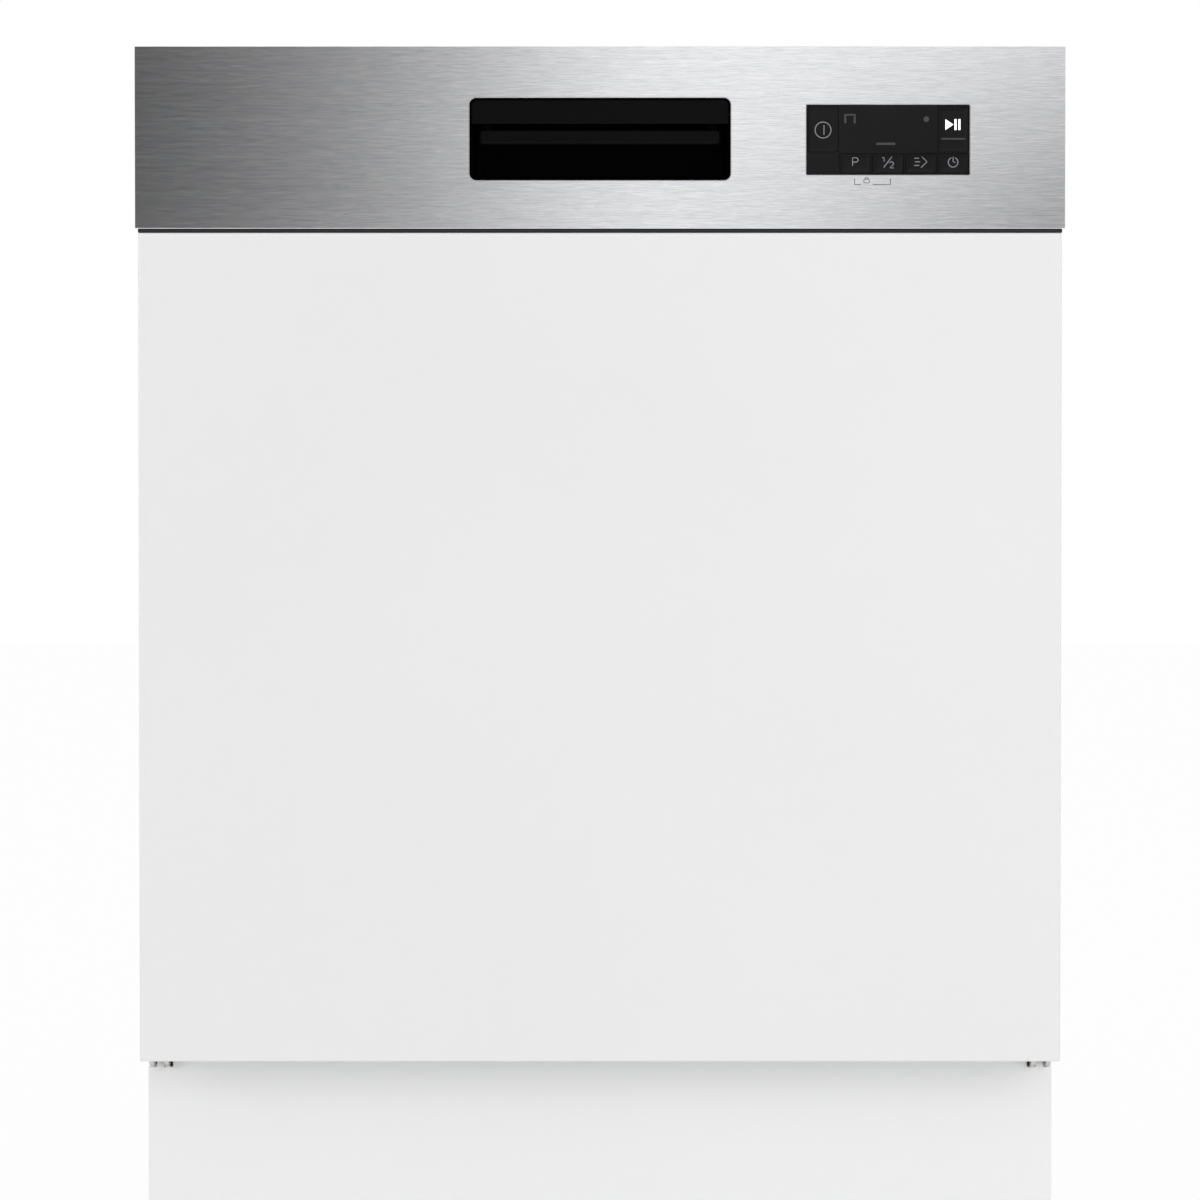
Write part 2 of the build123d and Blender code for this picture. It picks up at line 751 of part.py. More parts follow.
def water_inlet_valve():
    wall_in = tray_back - tray_wall
    axis = (inlet_x, inlet_z)
    body_top = inlet_z + valve_half_height
    body = block(grown((inlet_x, inlet_x), valve_half_width), (wall_in - valve_depth, wall_in),
                 (inlet_z - valve_half_height, body_top))
    coil = rod("z", (body_top, body_top + valve_coil_height), (inlet_x, wall_in - valve_depth / 2),
               valve_coil_radius)
    nose_end = tray_back + valve_nose_step + inlet_thread_length
    nose = tube("y", (wall_in, nose_end), axis, inlet_thread_radius, valve_bore)
    collar = tube("y", (tray_back, tray_back + valve_collar), axis, inlet_thread_radius + valve_collar,
                  valve_bore)
    return [body + coil + nose + collar]


def salt_container():
    under = floor_z - sheet
    place = (salt_x, salt_y)
    tank = shell_box((salt_x - salt_width / 2, salt_x + salt_width / 2),
                     (salt_y - salt_length / 2, salt_y + salt_length / 2),
                     (under - salt_depth, under), sump_wall, [])
    neck_z = (under - salt_neck_drop, floor_z)
    tank += rod("z", neck_z, place, salt_neck_radius)
    tank -= rod("z", neck_z, place, salt_neck_radius - salt_neck_wall)
    return [tank]


def salt_cap():
    place = (salt_x, salt_y)
    plug_radius = salt_neck_radius - salt_neck_wall - running_fit
    plug = rod("z", (floor_z - salt_plug_depth, floor_z), place, plug_radius)
    cap = rod("z", (floor_z, floor_z + salt_cap_height - salt_cap_step), place, salt_cap_radius)
    grip = block(grown((salt_x, salt_x), salt_cap_radius - salt_cap_step),
                 grown((salt_y, salt_y), salt_grip_half), (floor_z, floor_z + salt_cap_height))
    return [plug + cap + grip]


def flat_filter():
    place = (filter_x, filter_y)
    top = floor_z + filter_plate_thickness
    plate = tube("z", (floor_z, top), place, filter_plate_radius, filter_cup_radius + running_fit)
    rim = tube("z", (floor_z, top + 2), place, filter_plate_radius, filter_plate_radius - 3)
    return [plate + rim]


def filter_cup():
    place = (filter_x, filter_y)
    rim_top = floor_z + filter_plate_thickness + 5
    bottom = floor_z - filter_cup_depth
    cup = rod("z", (bottom, rim_top), place, filter_cup_radius)
    cup -= rod("z", (bottom + 2, rim_top), place, filter_cup_radius - 2)
    grip_top = rim_top + 7
    for turn in (0, 90):
        bar = block((-filter_cup_radius + 1, filter_cup_radius - 1), (-3, 3), (rim_top - 4, grip_top))
        cup += Pos(*place, 0) * Rot(0, 0, turn) * bar
    return [cup]


def spray_arm(reach, z0, hub_bore):
    """A tapered hollow arm about arm_x, arm_y, seen from above as a slim propeller."""
    root, tip = arm_root_width / 2, arm_tip_width / 2
    blade = make_face(Polyline((0, -root), (reach - tip, -tip), (reach - tip, tip), (0, root), close=True))
    half = blade + Pos(reach - tip, 0) * Circle(tip)
    plan = half + Rot(0, 0, 180) * half + Circle(arm_hub_radius + 8)
    arm = Pos(arm_x, arm_y, z0) * extrude(plan, arm_thickness)
    if hub_bore:
        arm -= rod("z", (z0, z0 + arm_thickness), (arm_x, arm_y), hub_bore)
        cap = rod("z", (z0 + arm_thickness, z0 + arm_thickness + 3), (arm_x, arm_y), arm_hub_radius)
        arm += cap
        arm -= rod("z", (z0, z0 + arm_thickness / 2 + touch_gap), (arm_x, arm_y), hub_bore)
    return arm


def lower_spray_arm():
    return [spray_arm(lower_arm_reach, arm_z, arm_post_radius + running_fit)]


def upper_spray_arm():
    """It hangs on the pin of the upper rack's water feed."""
    arm = spray_arm(upper_arm_reach, upper_arm_z, 0)
    arm -= rod("z", (upper_arm_z, upper_arm_z + arm_thickness), (arm_x, arm_y), arm_post_radius - 3)
    return [arm]


def riser_pipe():
    half = riser_width / 2
    y1 = tub_back_y
    y0 = y1 - riser_thickness
    top = tub_ceiling
    pipe = block((-half, half), (y0, y1), (floor_z - 30, top))
    pipe += block((-half, half), (arm_y, y0), (top - 12, top))
    pipe += rod("z", (top - 24, top), (arm_x, arm_y), nozzle_radius)
    pipe += rod("y", (rack_back + touch_gap, y0), (arm_x, upper_rack_z - feed_height / 2), feed_height / 2)
    supply_z = pump_z + pump_head_radius + outlet_pipe_radius / 2
    pipe += rod("y", (pump_y + outlet_pipe_radius, y0 + 2), (arm_x, supply_z), outlet_pipe_radius - 4)
    return [pipe]


# ---- door ----
def decor_door_panel():
    half = side - decor_side_gap
    panel = block((-half, half), (front, decor_back), (decor_bottom, decor_top))
    return [fillet(panel.faces().sort_by(Axis.Y)[0].edges(), 0.8)]


def door_outer_panel():
    half = side - door_side_gap
    shell = shell_box((-half, half), (decor_back, door_seat), (door_foot, fascia_bottom), sheet,
                      ["back", "top"])
    slot = (arm_outer - hinge_arm_thickness - 2, arm_outer + 2)
    for ends in (slot, (-slot[1], -slot[0])):
        shell -= block(ends, (hinge_y - 25, door_seat), (door_foot, door_foot + sheet))
    return [shell]


def door_inner_panel():
    half = side - 6
    z1 = fascia_top - 5
    panel = block((-half, half), (door_seat, door_back), (door_foot, z1))
    dish_z = (door_foot + dish_bottom_margin, z1 - dish_top_margin)
    dish_half = tub_half - sheet - dish_side_gap
    dish = block((-dish_half, dish_half), (door_seat, dish_face), dish_z)
    dish = fillet(dish.edges().filter_by(Axis.Y), 18)
    dish = fillet(dish.faces().sort_by(Axis.Y)[-1].edges(), 5)
    hollow = block((-dish_half + sheet, dish_half - sheet), (door_seat, dish_face - sheet),
                   (dish_z[0] + sheet, dish_z[1] - sheet))
    hollow = fillet(hollow.edges().filter_by(Axis.Y), 17)
    hollow = fillet(hollow.faces().sort_by(Axis.Y)[-1].edges(), 4)
    panel = panel + dish - hollow
    panel -= block((dispenser_x - dispenser_width / 2, dispenser_x + dispenser_width / 2),
                   (door_seat, dish_face),
                   (dispenser_z - dispenser_height / 2, dispenser_z + dispenser_height / 2))
    return [panel - strike_room(strike_clearance, (door_seat, door_back))]


def hinge_arms():
    x0, x1 = arm_outer - hinge_arm_thickness, arm_outer
    pivot = (hinge_y, hinge_z)
    rear = hinge_y + hinge_arm_behind
    seat = decor_back + sheet
    upright = (door_foot + hinge_arm_rise, door_foot + hinge_arm_height)
    arm = rod("x", (x0, x1), pivot, hinge_eye_radius)
    arm += block((x0, x1), (hinge_y - hinge_eye_radius, rear), (hinge_z, door_foot + hinge_arm_foot))
    arm += block((x0, x1), (seat, rear), upright)
    arm += block((x0 - hinge_arm_flange, x1), (seat, seat + hinge_arm_thickness), upright)
    tail_y = hinge_y + hinge_tail_reach
    arm += block((x0, x1), (hinge_y, tail_y), (hinge_z - hinge_tail_height, hinge_z))
    arm += rod("x", (x0, x1), (tail_y, hinge_z - hinge_tail_height / 2), hinge_tail_height / 2)
    arm -= rod("x", (x0, x1), pivot, hinge_pin_radius + running_fit)
    return [arm, other_side(arm)]


def hinge_brackets():
    """Plates on the side panels that carry the hinge pins and the springs' rear anchors."""
    x0, x1 = panel_in - hinge_plate_thickness, panel_in
    pivot = (hinge_y, hinge_z)
    y1 = hinge_y + hinge_plate_length
    foot = hinge_z - hinge_plate_drop
    pin_x = (arm_outer - hinge_arm_thickness - hinge_pin_end, x0)
    anchor = (y1 - spring_pin_inset, hinge_z - hinge_tail_height / 2)
    plate = rod("x", (x0, x1), pivot, hinge_eye_radius)
    plate += block((x0, x1), (hinge_y, y1), (foot, hinge_z + hinge_eye_radius))
    plate -= block((x0, x1), (hinge_y, plinth_back + 1), (foot, hinge_z - hinge_eye_radius))
    plate += rod("x", pin_x, pivot, hinge_pin_radius)
    plate += rod("x", pin_x, anchor, spring_pin_radius)
    return [plate, other_side(plate)]


def hinge_springs():
    x = arm_outer - hinge_arm_thickness / 2
    z = hinge_z - hinge_tail_height / 2
    tail_end = hinge_y + hinge_tail_reach + hinge_tail_height / 2 + touch_gap
    coil_start = tail_end + spring_hook
    anchor = hinge_y + hinge_plate_length - spring_pin_inset - spring_pin_radius - touch_gap
    spring = rod("y", (tail_end, anchor), (x, z), spring_wire)
    spring += rod("y", (coil_start, coil_start + spring_length), (x, z), spring_radius)
    return [spring, other_side(spring)]


def window(margin):
    """The handle pocket's and the display bezel's openings, larger all round by margin."""
    half = pocket_width / 2 + margin
    depth = (front, front + 60)
    pocket = rounded_plate((-half, half), depth, (pocket_bottom - margin, pocket_top + margin),
                           pocket_corner + margin)
    keypad = block((keypad_x0 - margin, keypad_x0 + keypad_width + margin), depth,
                   (keypad_bottom - margin, keypad_top + margin))
    return pocket, keypad


def control_fascia():
    skin = shell_box((-side, side), (front, front + fascia_return), (fascia_bottom, fascia_top), sheet,
                     ["back"])
    skin = fillet(skin.faces().sort_by(Axis.Y)[0].edges(), 0.8)
    for opening in window(0):
        skin -= opening
    return [skin]


def board_posts():
    return [(keypad_x0 - 9, keypad_bottom + 6), (keypad_x0 - 9, keypad_top - 6),
            (keypad_x0 + keypad_width + 9, keypad_bottom + 6),
            (keypad_x0 + keypad_width + 9, keypad_top - 6)]


board_y = front + sheet + housing_wall + 9


def control_housing():
    y0 = front + sheet
    half = side - sheet
    inside = (fascia_bottom + sheet, fascia_top - sheet)
    housing = shell_box((-half, half), (y0, front + fascia_return), inside, housing_wall, ["back"])
    rear_half = half - 2
    housing += shell_box((-rear_half, rear_half), (front + fascia_return - housing_wall, door_seat),
                         inside, housing_wall, ["back", "front"])
    for opening in window(0):
        housing -= opening
    for place in board_posts():
        housing += rod("y", (y0 + housing_wall, board_y), place, 3)
    return [housing]


def handle_pocket():
    half = pocket_width / 2
    z0, z1 = pocket_bottom, pocket_top
    y1 = front + pocket_depth
    bowl = rounded_plate((-half, half), (front, y1), (z0, z1), pocket_corner)
    hollow = rounded_plate((-half + pocket_wall, half - pocket_wall), (front, y1 - pocket_wall),
                           (z0 + pocket_wall, z1 - pocket_wall), pocket_corner - pocket_wall)
    bowl -= hollow
    seat = front + sheet + housing_wall
    flange = rounded_plate((-half - flange_lap, half + flange_lap), (seat, seat + flange_thickness),
                           (z0 - flange_lap, z1 + flange_lap), pocket_corner + flange_lap)
    flange -= rounded_plate((-half, half), (seat, seat + flange_thickness), (z0, z1), pocket_corner)
    apron = block((-half + pocket_wall, half - pocket_wall),
                  (front + apron_recess, front + apron_recess + pocket_wall),
                  (z1 - apron_height, z1 - pocket_wall))
    bowl += flange + apron
    for x0 in (-half, half - pocket_wall):
        bowl -= rod("x", (x0, x0 + pocket_wall), lever_pivot(), lever_pin_radius + running_fit)
    bowl -= block(grown((-lever_tail_half, lever_tail_half), 2),
                  (lever_pivot()[0] - 6, lever_pivot()[0] + 8), (z1 - pocket_wall, z1))
    return [bowl]


def lever_pivot():
    return (front + lever_pivot_depth, pocket_top - lever_pivot_drop)


def release_lever():
    """A bar under the apron; pulled forward, its tail pushes the latch."""
    y, z = lever_pivot()
    half = lever_width / 2
    bar_top = pocket_top - apron_height - lever_slot
    y0 = front + lever_recess
    bar = block((-half, half), (y0, y0 + lever_thickness), (bar_top - lever_height, bar_top))
    web = grown((y, y), lever_web_half)
    bar += block((-half, half), (y0 + lever_thickness - lever_web, web[1]), (bar_top - lever_web, bar_top))
    bar += block((-half, half), web, (bar_top - lever_web, z))
    pocket_half = pocket_width / 2
    bar += rod("x", (-pocket_half, pocket_half), (y, z), lever_pin_radius)
    bar += block((-lever_tail_half, lever_tail_half), web, (z, pocket_top + lever_tail_rise))
    return [bar]


def door_latch():
    z0 = pocket_top + lever_tail_rise + touch_gap
    z1 = fascia_top - sheet - housing_wall
    latch = block((-34, 34), (front + 22, door_seat), (z0, z1))
    return [latch - strike_room(strike_clearance, (front + 26, door_seat))]


def key_cells():
    """The bezel's opening for each key: x from, x to, z from, z to."""
    rib = bezel_rib / 2
    last = keypad_columns - 1
    upper = (key_row_z + rib, keypad_top - bezel_rim)
    lower = (keypad_bottom + bezel_rim, key_row_z - rib)
    spots = {
        "power_key": (0, upper),
        "start_key": (last, upper),
        "program_key": (1, lower),
        "half_load_key": (2, lower),
        "fast_key": (3, lower),
        "delay_key": (last, lower),
    }
    cells = {}
    for name, (column, row) in spots.items():
        x0 = keypad_x0 + column * key_pitch
        left = bezel_rim if column == 0 else rib
        right = bezel_rim if column == last else rib
        cells[name] = (x0 + left, x0 + key_pitch - right, *row)
    return cells


def display_bezel():
    x0, x1 = keypad_x0, keypad_x0 + keypad_width
    depth = (front, front + sheet + housing_wall + flange_thickness)
    bezel = block((x0, x1), depth, (keypad_bottom, keypad_top))
    seat = front + sheet + housing_wall
    bezel += block((x0 - flange_lap, x1 + flange_lap), (seat, seat + flange_thickness),
                   (keypad_bottom - flange_lap, keypad_top + flange_lap))
    for cell in key_cells().values():
        bezel -= block(cell[0:2], depth, cell[2:4])
    return [bezel]


def key(cell):
    y0 = front + key_recess
    cap = block((cell[0] + key_gap, cell[1] - key_gap), (y0, y0 + key_depth),
                (cell[2] + key_gap, cell[3] - key_gap))
    return [fillet(cap.faces().sort_by(Axis.Y)[0].edges(), 0.4)]


def control_board():
    y1 = board_y + board_thickness
    ends = grown((keypad_x0, keypad_x0 + keypad_width), board_side_margin)
    board = block(ends, (board_y, y1), grown((keypad_bottom, keypad_top), board_edge_margin))
    plug_x, plug_z = ends[0] + plug_inset, keypad_bottom + plug_rise
    board += block((plug_x, plug_x + plug_length), (y1, y1 + plug_depth), (plug_z, plug_z + plug_height))
    half = switch_width / 2
    pressed = front + key_recess + key_depth + key_travel + touch_gap / 3
    for cell in key_cells().values():
        x, z = (cell[0] + cell[1]) / 2, (cell[2] + cell[3]) / 2
        board += block((x - half, x + half), (pressed, board_y), (z - half, z + half))
    return [board]


def dispenser_place():
    x0, x1 = dispenser_x - dispenser_width / 2, dispenser_x + dispenser_width / 2
    z0, z1 = dispenser_z - dispenser_height / 2, dispenser_z + dispenser_height / 2
    return (x0, x1), (z0, z1)


def detergent_cup():
    """Extents of the open detergent chamber."""
    (x0, x1), (z0, z1) = dispenser_place()
    cup_x = (x0 + 14, x0 + 14 + cup_width)
    cup_z = (dispenser_z - cup_height / 2, dispenser_z + cup_height / 2)
    return cup_x, cup_z


def dispenser_body():
    (x0, x1), (z0, z1) = dispenser_place()
    face = dish_face + dispenser_rim
    body = block((x0, x1), (dish_face - dispenser_depth, face), (z0, z1))
    body += block((x0 - 6, x1 + 6), (dish_face, face), (z0 - 6, z1 + 6))
    cup_x, cup_z = detergent_cup()
    body -= block(cup_x, (face - cup_depth, face), cup_z)
    well = rinse_cap_place()
    body -= rod("y", (face - 12, face), well, rinse_cap_radius - 6)
    return [body]


def rinse_cap_place():
    (x0, x1), (z0, z1) = dispenser_place()
    return (x1 - rinse_cap_radius - 12, z1 - rinse_cap_radius - 12)


def dispenser_lid():
    """It slides sideways over the detergent chamber."""
    cup_x, cup_z = detergent_cup()
    face = dish_face + dispenser_rim + touch_gap / 3
    lid = block((cup_x[0] - lid_lap, cup_x[1] + lid_lap), (face, face + lid_thickness),
                (cup_z[0] - lid_lap, cup_z[1] + lid_lap))
    lid = fillet(lid.edges().filter_by(Axis.Y), 6)
    return [lid]


def rinse_aid_cap():
    place = rinse_cap_place()
    face = dish_face + dispenser_rim + touch_gap / 3
    cap = rod("y", (face, face + rinse_cap_height), place, rinse_cap_radius)
    plug = rod("y", (face - 10, face), place, rinse_cap_radius - 6 - running_fit)
    return [cap + plug]


# ---- racks ----
def steps(low, high, pitch):
    """Evenly spaced places from low to high, about a pitch apart."""
    count = max(1, round((high - low) / pitch))
    return [low + (high - low) * step / count for step in range(count + 1)]


def lattice(x, y):
    """A flat mesh of wires that fills a rectangle, as a sketch."""
    columns = steps(x[0] + wire / 2, x[1] - wire / 2, rack_pitch)
    rows = steps(y[0] + wire / 2, y[1] - wire / 2, rack_pitch)
    mesh = Pos((x[0] + x[1]) / 2, (y[0] + y[1]) / 2) * Rectangle(x[1] - x[0], y[1] - y[0])
    cells = [
        Pos((left + right) / 2, (low + high) / 2) * Rectangle(right - left - wire, high - low - wire)
        for left, right in zip(columns, columns[1:])
        for low, high in zip(rows, rows[1:])
    ]
    return mesh - cells


def wire_basket(z0, z1):
    """Floor and four sides of a rack, each a flat grid that is welded to the next."""
    x, y, z = (-rack_side, rack_side), (rack_front, rack_back), (z0 + wire, z1)
    grids = [Pos(0, 0, z0) * extrude(lattice(x, y), wire)]
    end_wall = lattice(x, z)
    side_wall = lattice((y[0] + wire, y[1] - wire), z)
    for wall_y in (y[0] + wire, y[1]):
        place = Plane(origin=(0, wall_y, 0), x_dir=(1, 0, 0), z_dir=(0, -1, 0))
        grids.append(place * extrude(end_wall, wire))
    for wall_x in (x[0], x[1] - wire):
        place = Plane(origin=(wall_x, 0, 0), x_dir=(0, 1, 0), z_dir=(1, 0, 0))
        grids.append(place * extrude(side_wall, wire))
    return grids


def tine_rows(rows, x0, x1, z, height):
    """Combs of upright plate pins, one on each row."""
    combs = []
    for y in rows:
        comb = block((x0 - tine_radius, x1 + tine_radius), (y - tine_radius, y + tine_radius), (z, z + wire))
        comb += [rod("z", (z, z + height), (x, y), tine_radius) for x in steps(x0, x1, rack_pitch)]
        combs.append(comb)
    return combs


def rack_grip(rim):
    """Moulded grip over the front wall's top wire."""
    inner, outer = rack_front + wire, rack_front + grip_depth
    grip = block((-grip_half, grip_half), (inner, outer), (rim - grip_drop, rim))
    return grip + block((-grip_half, grip_half), (rack_front, outer), (rim, rim + grip_rise))


def wheel_places():
    return {
        "wheel_front_left": (-wheel_x, front_wheel_y),
        "wheel_front_right": (wheel_x, front_wheel_y),
        "wheel_rear_left": (-wheel_x, rear_wheel_y),
        "wheel_rear_right": (wheel_x, rear_wheel_y),
    }


def wheel_carrier(y):
    """Plate, lug and axle pin of a wheel on the rack's right side."""
    inner, outer = wheel_x - wheel_width / 2, wheel_x + wheel_width / 2
    place = (y, wheel_z)
    carrier = block((rack_side, rack_side + wire / 2), (y - 15, y + 15), (wheel_z - 8, lower_floor + 30))
    carrier += rod("x", (rack_side, inner - touch_gap), place, wheel_pin_radius + 3)
    carrier += rod("x", (rack_side, outer + wheel_stop), place, wheel_pin_radius)
    return carrier + rod("x", (outer + touch_gap, outer + wheel_stop), place, wheel_pin_radius + 2)


def lower_rack():
    floor_rows = steps(rack_front + wire / 2, rack_back - wire / 2, rack_pitch)
    fixed_rows = [y for y in floor_rows if fold_row_y + 20 < y < rack_back - 30][::2]
    tine_x = rack_side - tine_inset
    rack = wire_basket(lower_floor, lower_rim)
    rack += tine_rows(fixed_rows, -tine_x, tine_x, lower_floor + wire, tine_height)
    for y in (front_wheel_y, rear_wheel_y):
        carrier = wheel_carrier(y)
        rack += [carrier, other_side(carrier)]
    for clip_x in (fold_row_x0 - clip_offset, fold_row_x1 + clip_offset):
        ends = grown((clip_x, clip_x), clip_thickness / 2)
        clip = block(ends, grown((fold_row_y, fold_row_y), clip_half),
                     (lower_floor + wire, fold_pivot_z + clip_half))
        rack.append(clip - rod("x", ends, (fold_row_y, fold_pivot_z), fold_pin_radius + running_fit))
    rack.append(rack_grip(lower_rim))
    return rack


fold_pivot_z = lower_floor + wire + 4


def folding_tines():
    x0, x1 = fold_row_x0, fold_row_x1
    pin_end = clip_offset + clip_thickness / 2 + 1
    pivot = rod("x", (x0 - pin_end, x1 + pin_end), (fold_row_y, fold_pivot_z), fold_pin_radius)
    pins = [rod("z", (fold_pivot_z, fold_pivot_z + tine_height), (x, fold_row_y), tine_radius)
            for x in steps(x0, x1, rack_pitch)]
    return [pivot + pins]


def wheel(place):
    x, y = place
    ends = (x - wheel_width / 2, x + wheel_width / 2)
    tyre = rod("x", ends, (y, wheel_z), wheel_radius)
    tyre = chamfer(tyre.edges().filter_by(GeomType.CIRCLE), 1)
    return [tyre - rod("x", ends, (y, wheel_z), wheel_pin_radius + running_fit)]


def cutlery_basket():
    x = (basket_x - basket_width / 2, basket_x + basket_width / 2)
    y0 = rack_front + wire + touch_gap
    y = (y0, y0 + basket_length)
    z0 = lower_floor + wire
    basket = shell_box(x, y, (z0, z0 + basket_height), basket_wall, ["top"])
    rim = z0 + basket_height
    for split in range(1, basket_cells):
        rib = x[0] + basket_width * split / basket_cells
        basket += block(grown((rib, rib), basket_rib / 2), y, (z0, rim - basket_rib_drop))
    middle = (y[0] + y[1]) / 2
    deep = grown((middle, middle), handle_depth / 2)
    grip_top = rim + handle_rise
    grip = block(grown((basket_x, basket_x), handle_half), deep, (z0, grip_top))
    grip -= block(grown((basket_x, basket_x), handle_half - handle_leg), grown(deep, 1),
                  (rim, grip_top - handle_bar))
    return [basket + grip]


def upper_rack():
    rack = wire_basket(upper_rack_z, upper_rim)
    carrier = rail_channel(rack_rail_x, "right")
    carrier += block((rack_side, rack_rail_x + rail_wall), (rack_front, rack_front + rail_length),
                     (rail_z - rack_web_half, rail_z + rack_web_half))
    rack += [carrier, other_side(carrier)]
    rows = steps(rack_front + wire / 2, rack_back - wire / 2, rack_pitch)[1:-1:2]
    rack += tine_rows(rows, upper_tine_x0, rack_side - upper_tine_inset, upper_rack_z + wire,
                      upper_tine_height)
    place = (arm_x, arm_y)
    feed_z = (upper_rack_z - feed_height, upper_rack_z)
    feed = block(grown((arm_x, arm_x), arm_post_radius), (arm_y, rack_back), feed_z)
    feed += rod("z", feed_z, place, arm_hub_radius)
    feed += rod("z", (upper_arm_z - arm_pin_end, upper_rack_z), place, arm_post_radius - 3 - running_fit)
    feed += rod("z", (upper_arm_z - 2 * arm_pin_end, upper_arm_z - touch_gap), place, arm_post_radius + 3)
    rack.append(feed)
    for y in shelf_hinges():
        ends = grown((y, y), shelf_clip_half)
        clip = block((-rack_side + wire, -rack_side + shelf_clip_reach), ends,
                     grown((shelf_z, shelf_z), 2 * shelf_clip_half))
        rack.append(clip - rod("y", ends, (shelf_pivot_x, shelf_z), shelf_pin_radius + running_fit))
    rack.append(rack_grip(upper_rim))
    return rack


shelf_pivot_x = -rack_side + 10


def shelf_hinges():
    return (shelf_y - shelf_length / 2 - 6, shelf_y + shelf_length / 2 + 6)


def cup_shelf():
    """A grid that folds up against the rack's left side."""
    x0 = shelf_pivot_x
    y = (shelf_y - shelf_length / 2, shelf_y + shelf_length / 2)
    shelf = Pos(0, 0, shelf_z - wire / 2) * extrude(lattice((x0, x0 + shelf_reach), y), wire)
    low, high = shelf_hinges()
    pin = (low - shelf_clip_half, high + shelf_clip_half)
    return [shelf + rod("y", pin, (shelf_pivot_x, shelf_z), shelf_pin_radius)]


# ---- every piece, by name ----
pieces = {
    "base_tray": base_tray(),
    "side_panel_right": [side_panel()],
    "side_panel_left": [other_side(side_panel())],
    "rear_panel": rear_panel(),
    "insulation_mats": insulation_mats(),
    "front_crossbar": front_crossbar(),
    "casing_screws": casing_screws(),
    "plinth_panel": plinth_panel(),
    "tub_wrap": tub_wrap(),
    "tub_back": tub_back(),
    "tub_floor": tub_floor(),
    "tub_seal": tub_seal(),
    "rail_channels": rail_channels(),
    "rail_slides": rail_slides(),
    "sump": sump(),
    "circulation_pump": circulation_pump(),
    "drain_pump": drain_pump(),
    "water_inlet_valve": water_inlet_valve(),
    "salt_container": salt_container(),
    "salt_cap": salt_cap(),
    "flat_filter": flat_filter(),
    "filter_cup": filter_cup(),
    "lower_spray_arm": lower_spray_arm(),
    "upper_spray_arm": upper_spray_arm(),
    "riser_pipe": riser_pipe(),
    "decor_door_panel": decor_door_panel(),
    "door_outer_panel": door_outer_panel(),
    "door_inner_panel": door_inner_panel(),
    "hinge_arms": hinge_arms(),
    "hinge_brackets": hinge_brackets(),
    "hinge_springs": hinge_springs(),
    "control_fascia": control_fascia(),
    "control_housing": control_housing(),
    "handle_pocket": handle_pocket(),
    "release_lever": release_lever(),
    "door_latch": door_latch(),
    "display_bezel": display_bezel(),
    "control_board": control_board(),
    "dispenser_body": dispenser_body(),
    "dispenser_lid": dispenser_lid(),
    "rinse_aid_cap": rinse_aid_cap(),
    "upper_rack": upper_rack(),
    "cup_shelf": cup_shelf(),
    "lower_rack": lower_rack(),
    "folding_tines": folding_tines(),
    "cutlery_basket": cutlery_basket(),
}
for name, place in foot_places().items():
    pieces[name] = foot(place)
for name, place in wheel_places().items():
    pieces[name] = wheel(place)
for name, cell in key_cells().items():
    pieces[name] = key(cell)

for name, solids in pieces.items():
    shape = solids[0] if len(solids) == 1 else Compound(children=solids)
    export_step(shape, f"parts/{name}.step")
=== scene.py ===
"""Skins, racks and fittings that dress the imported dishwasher."""

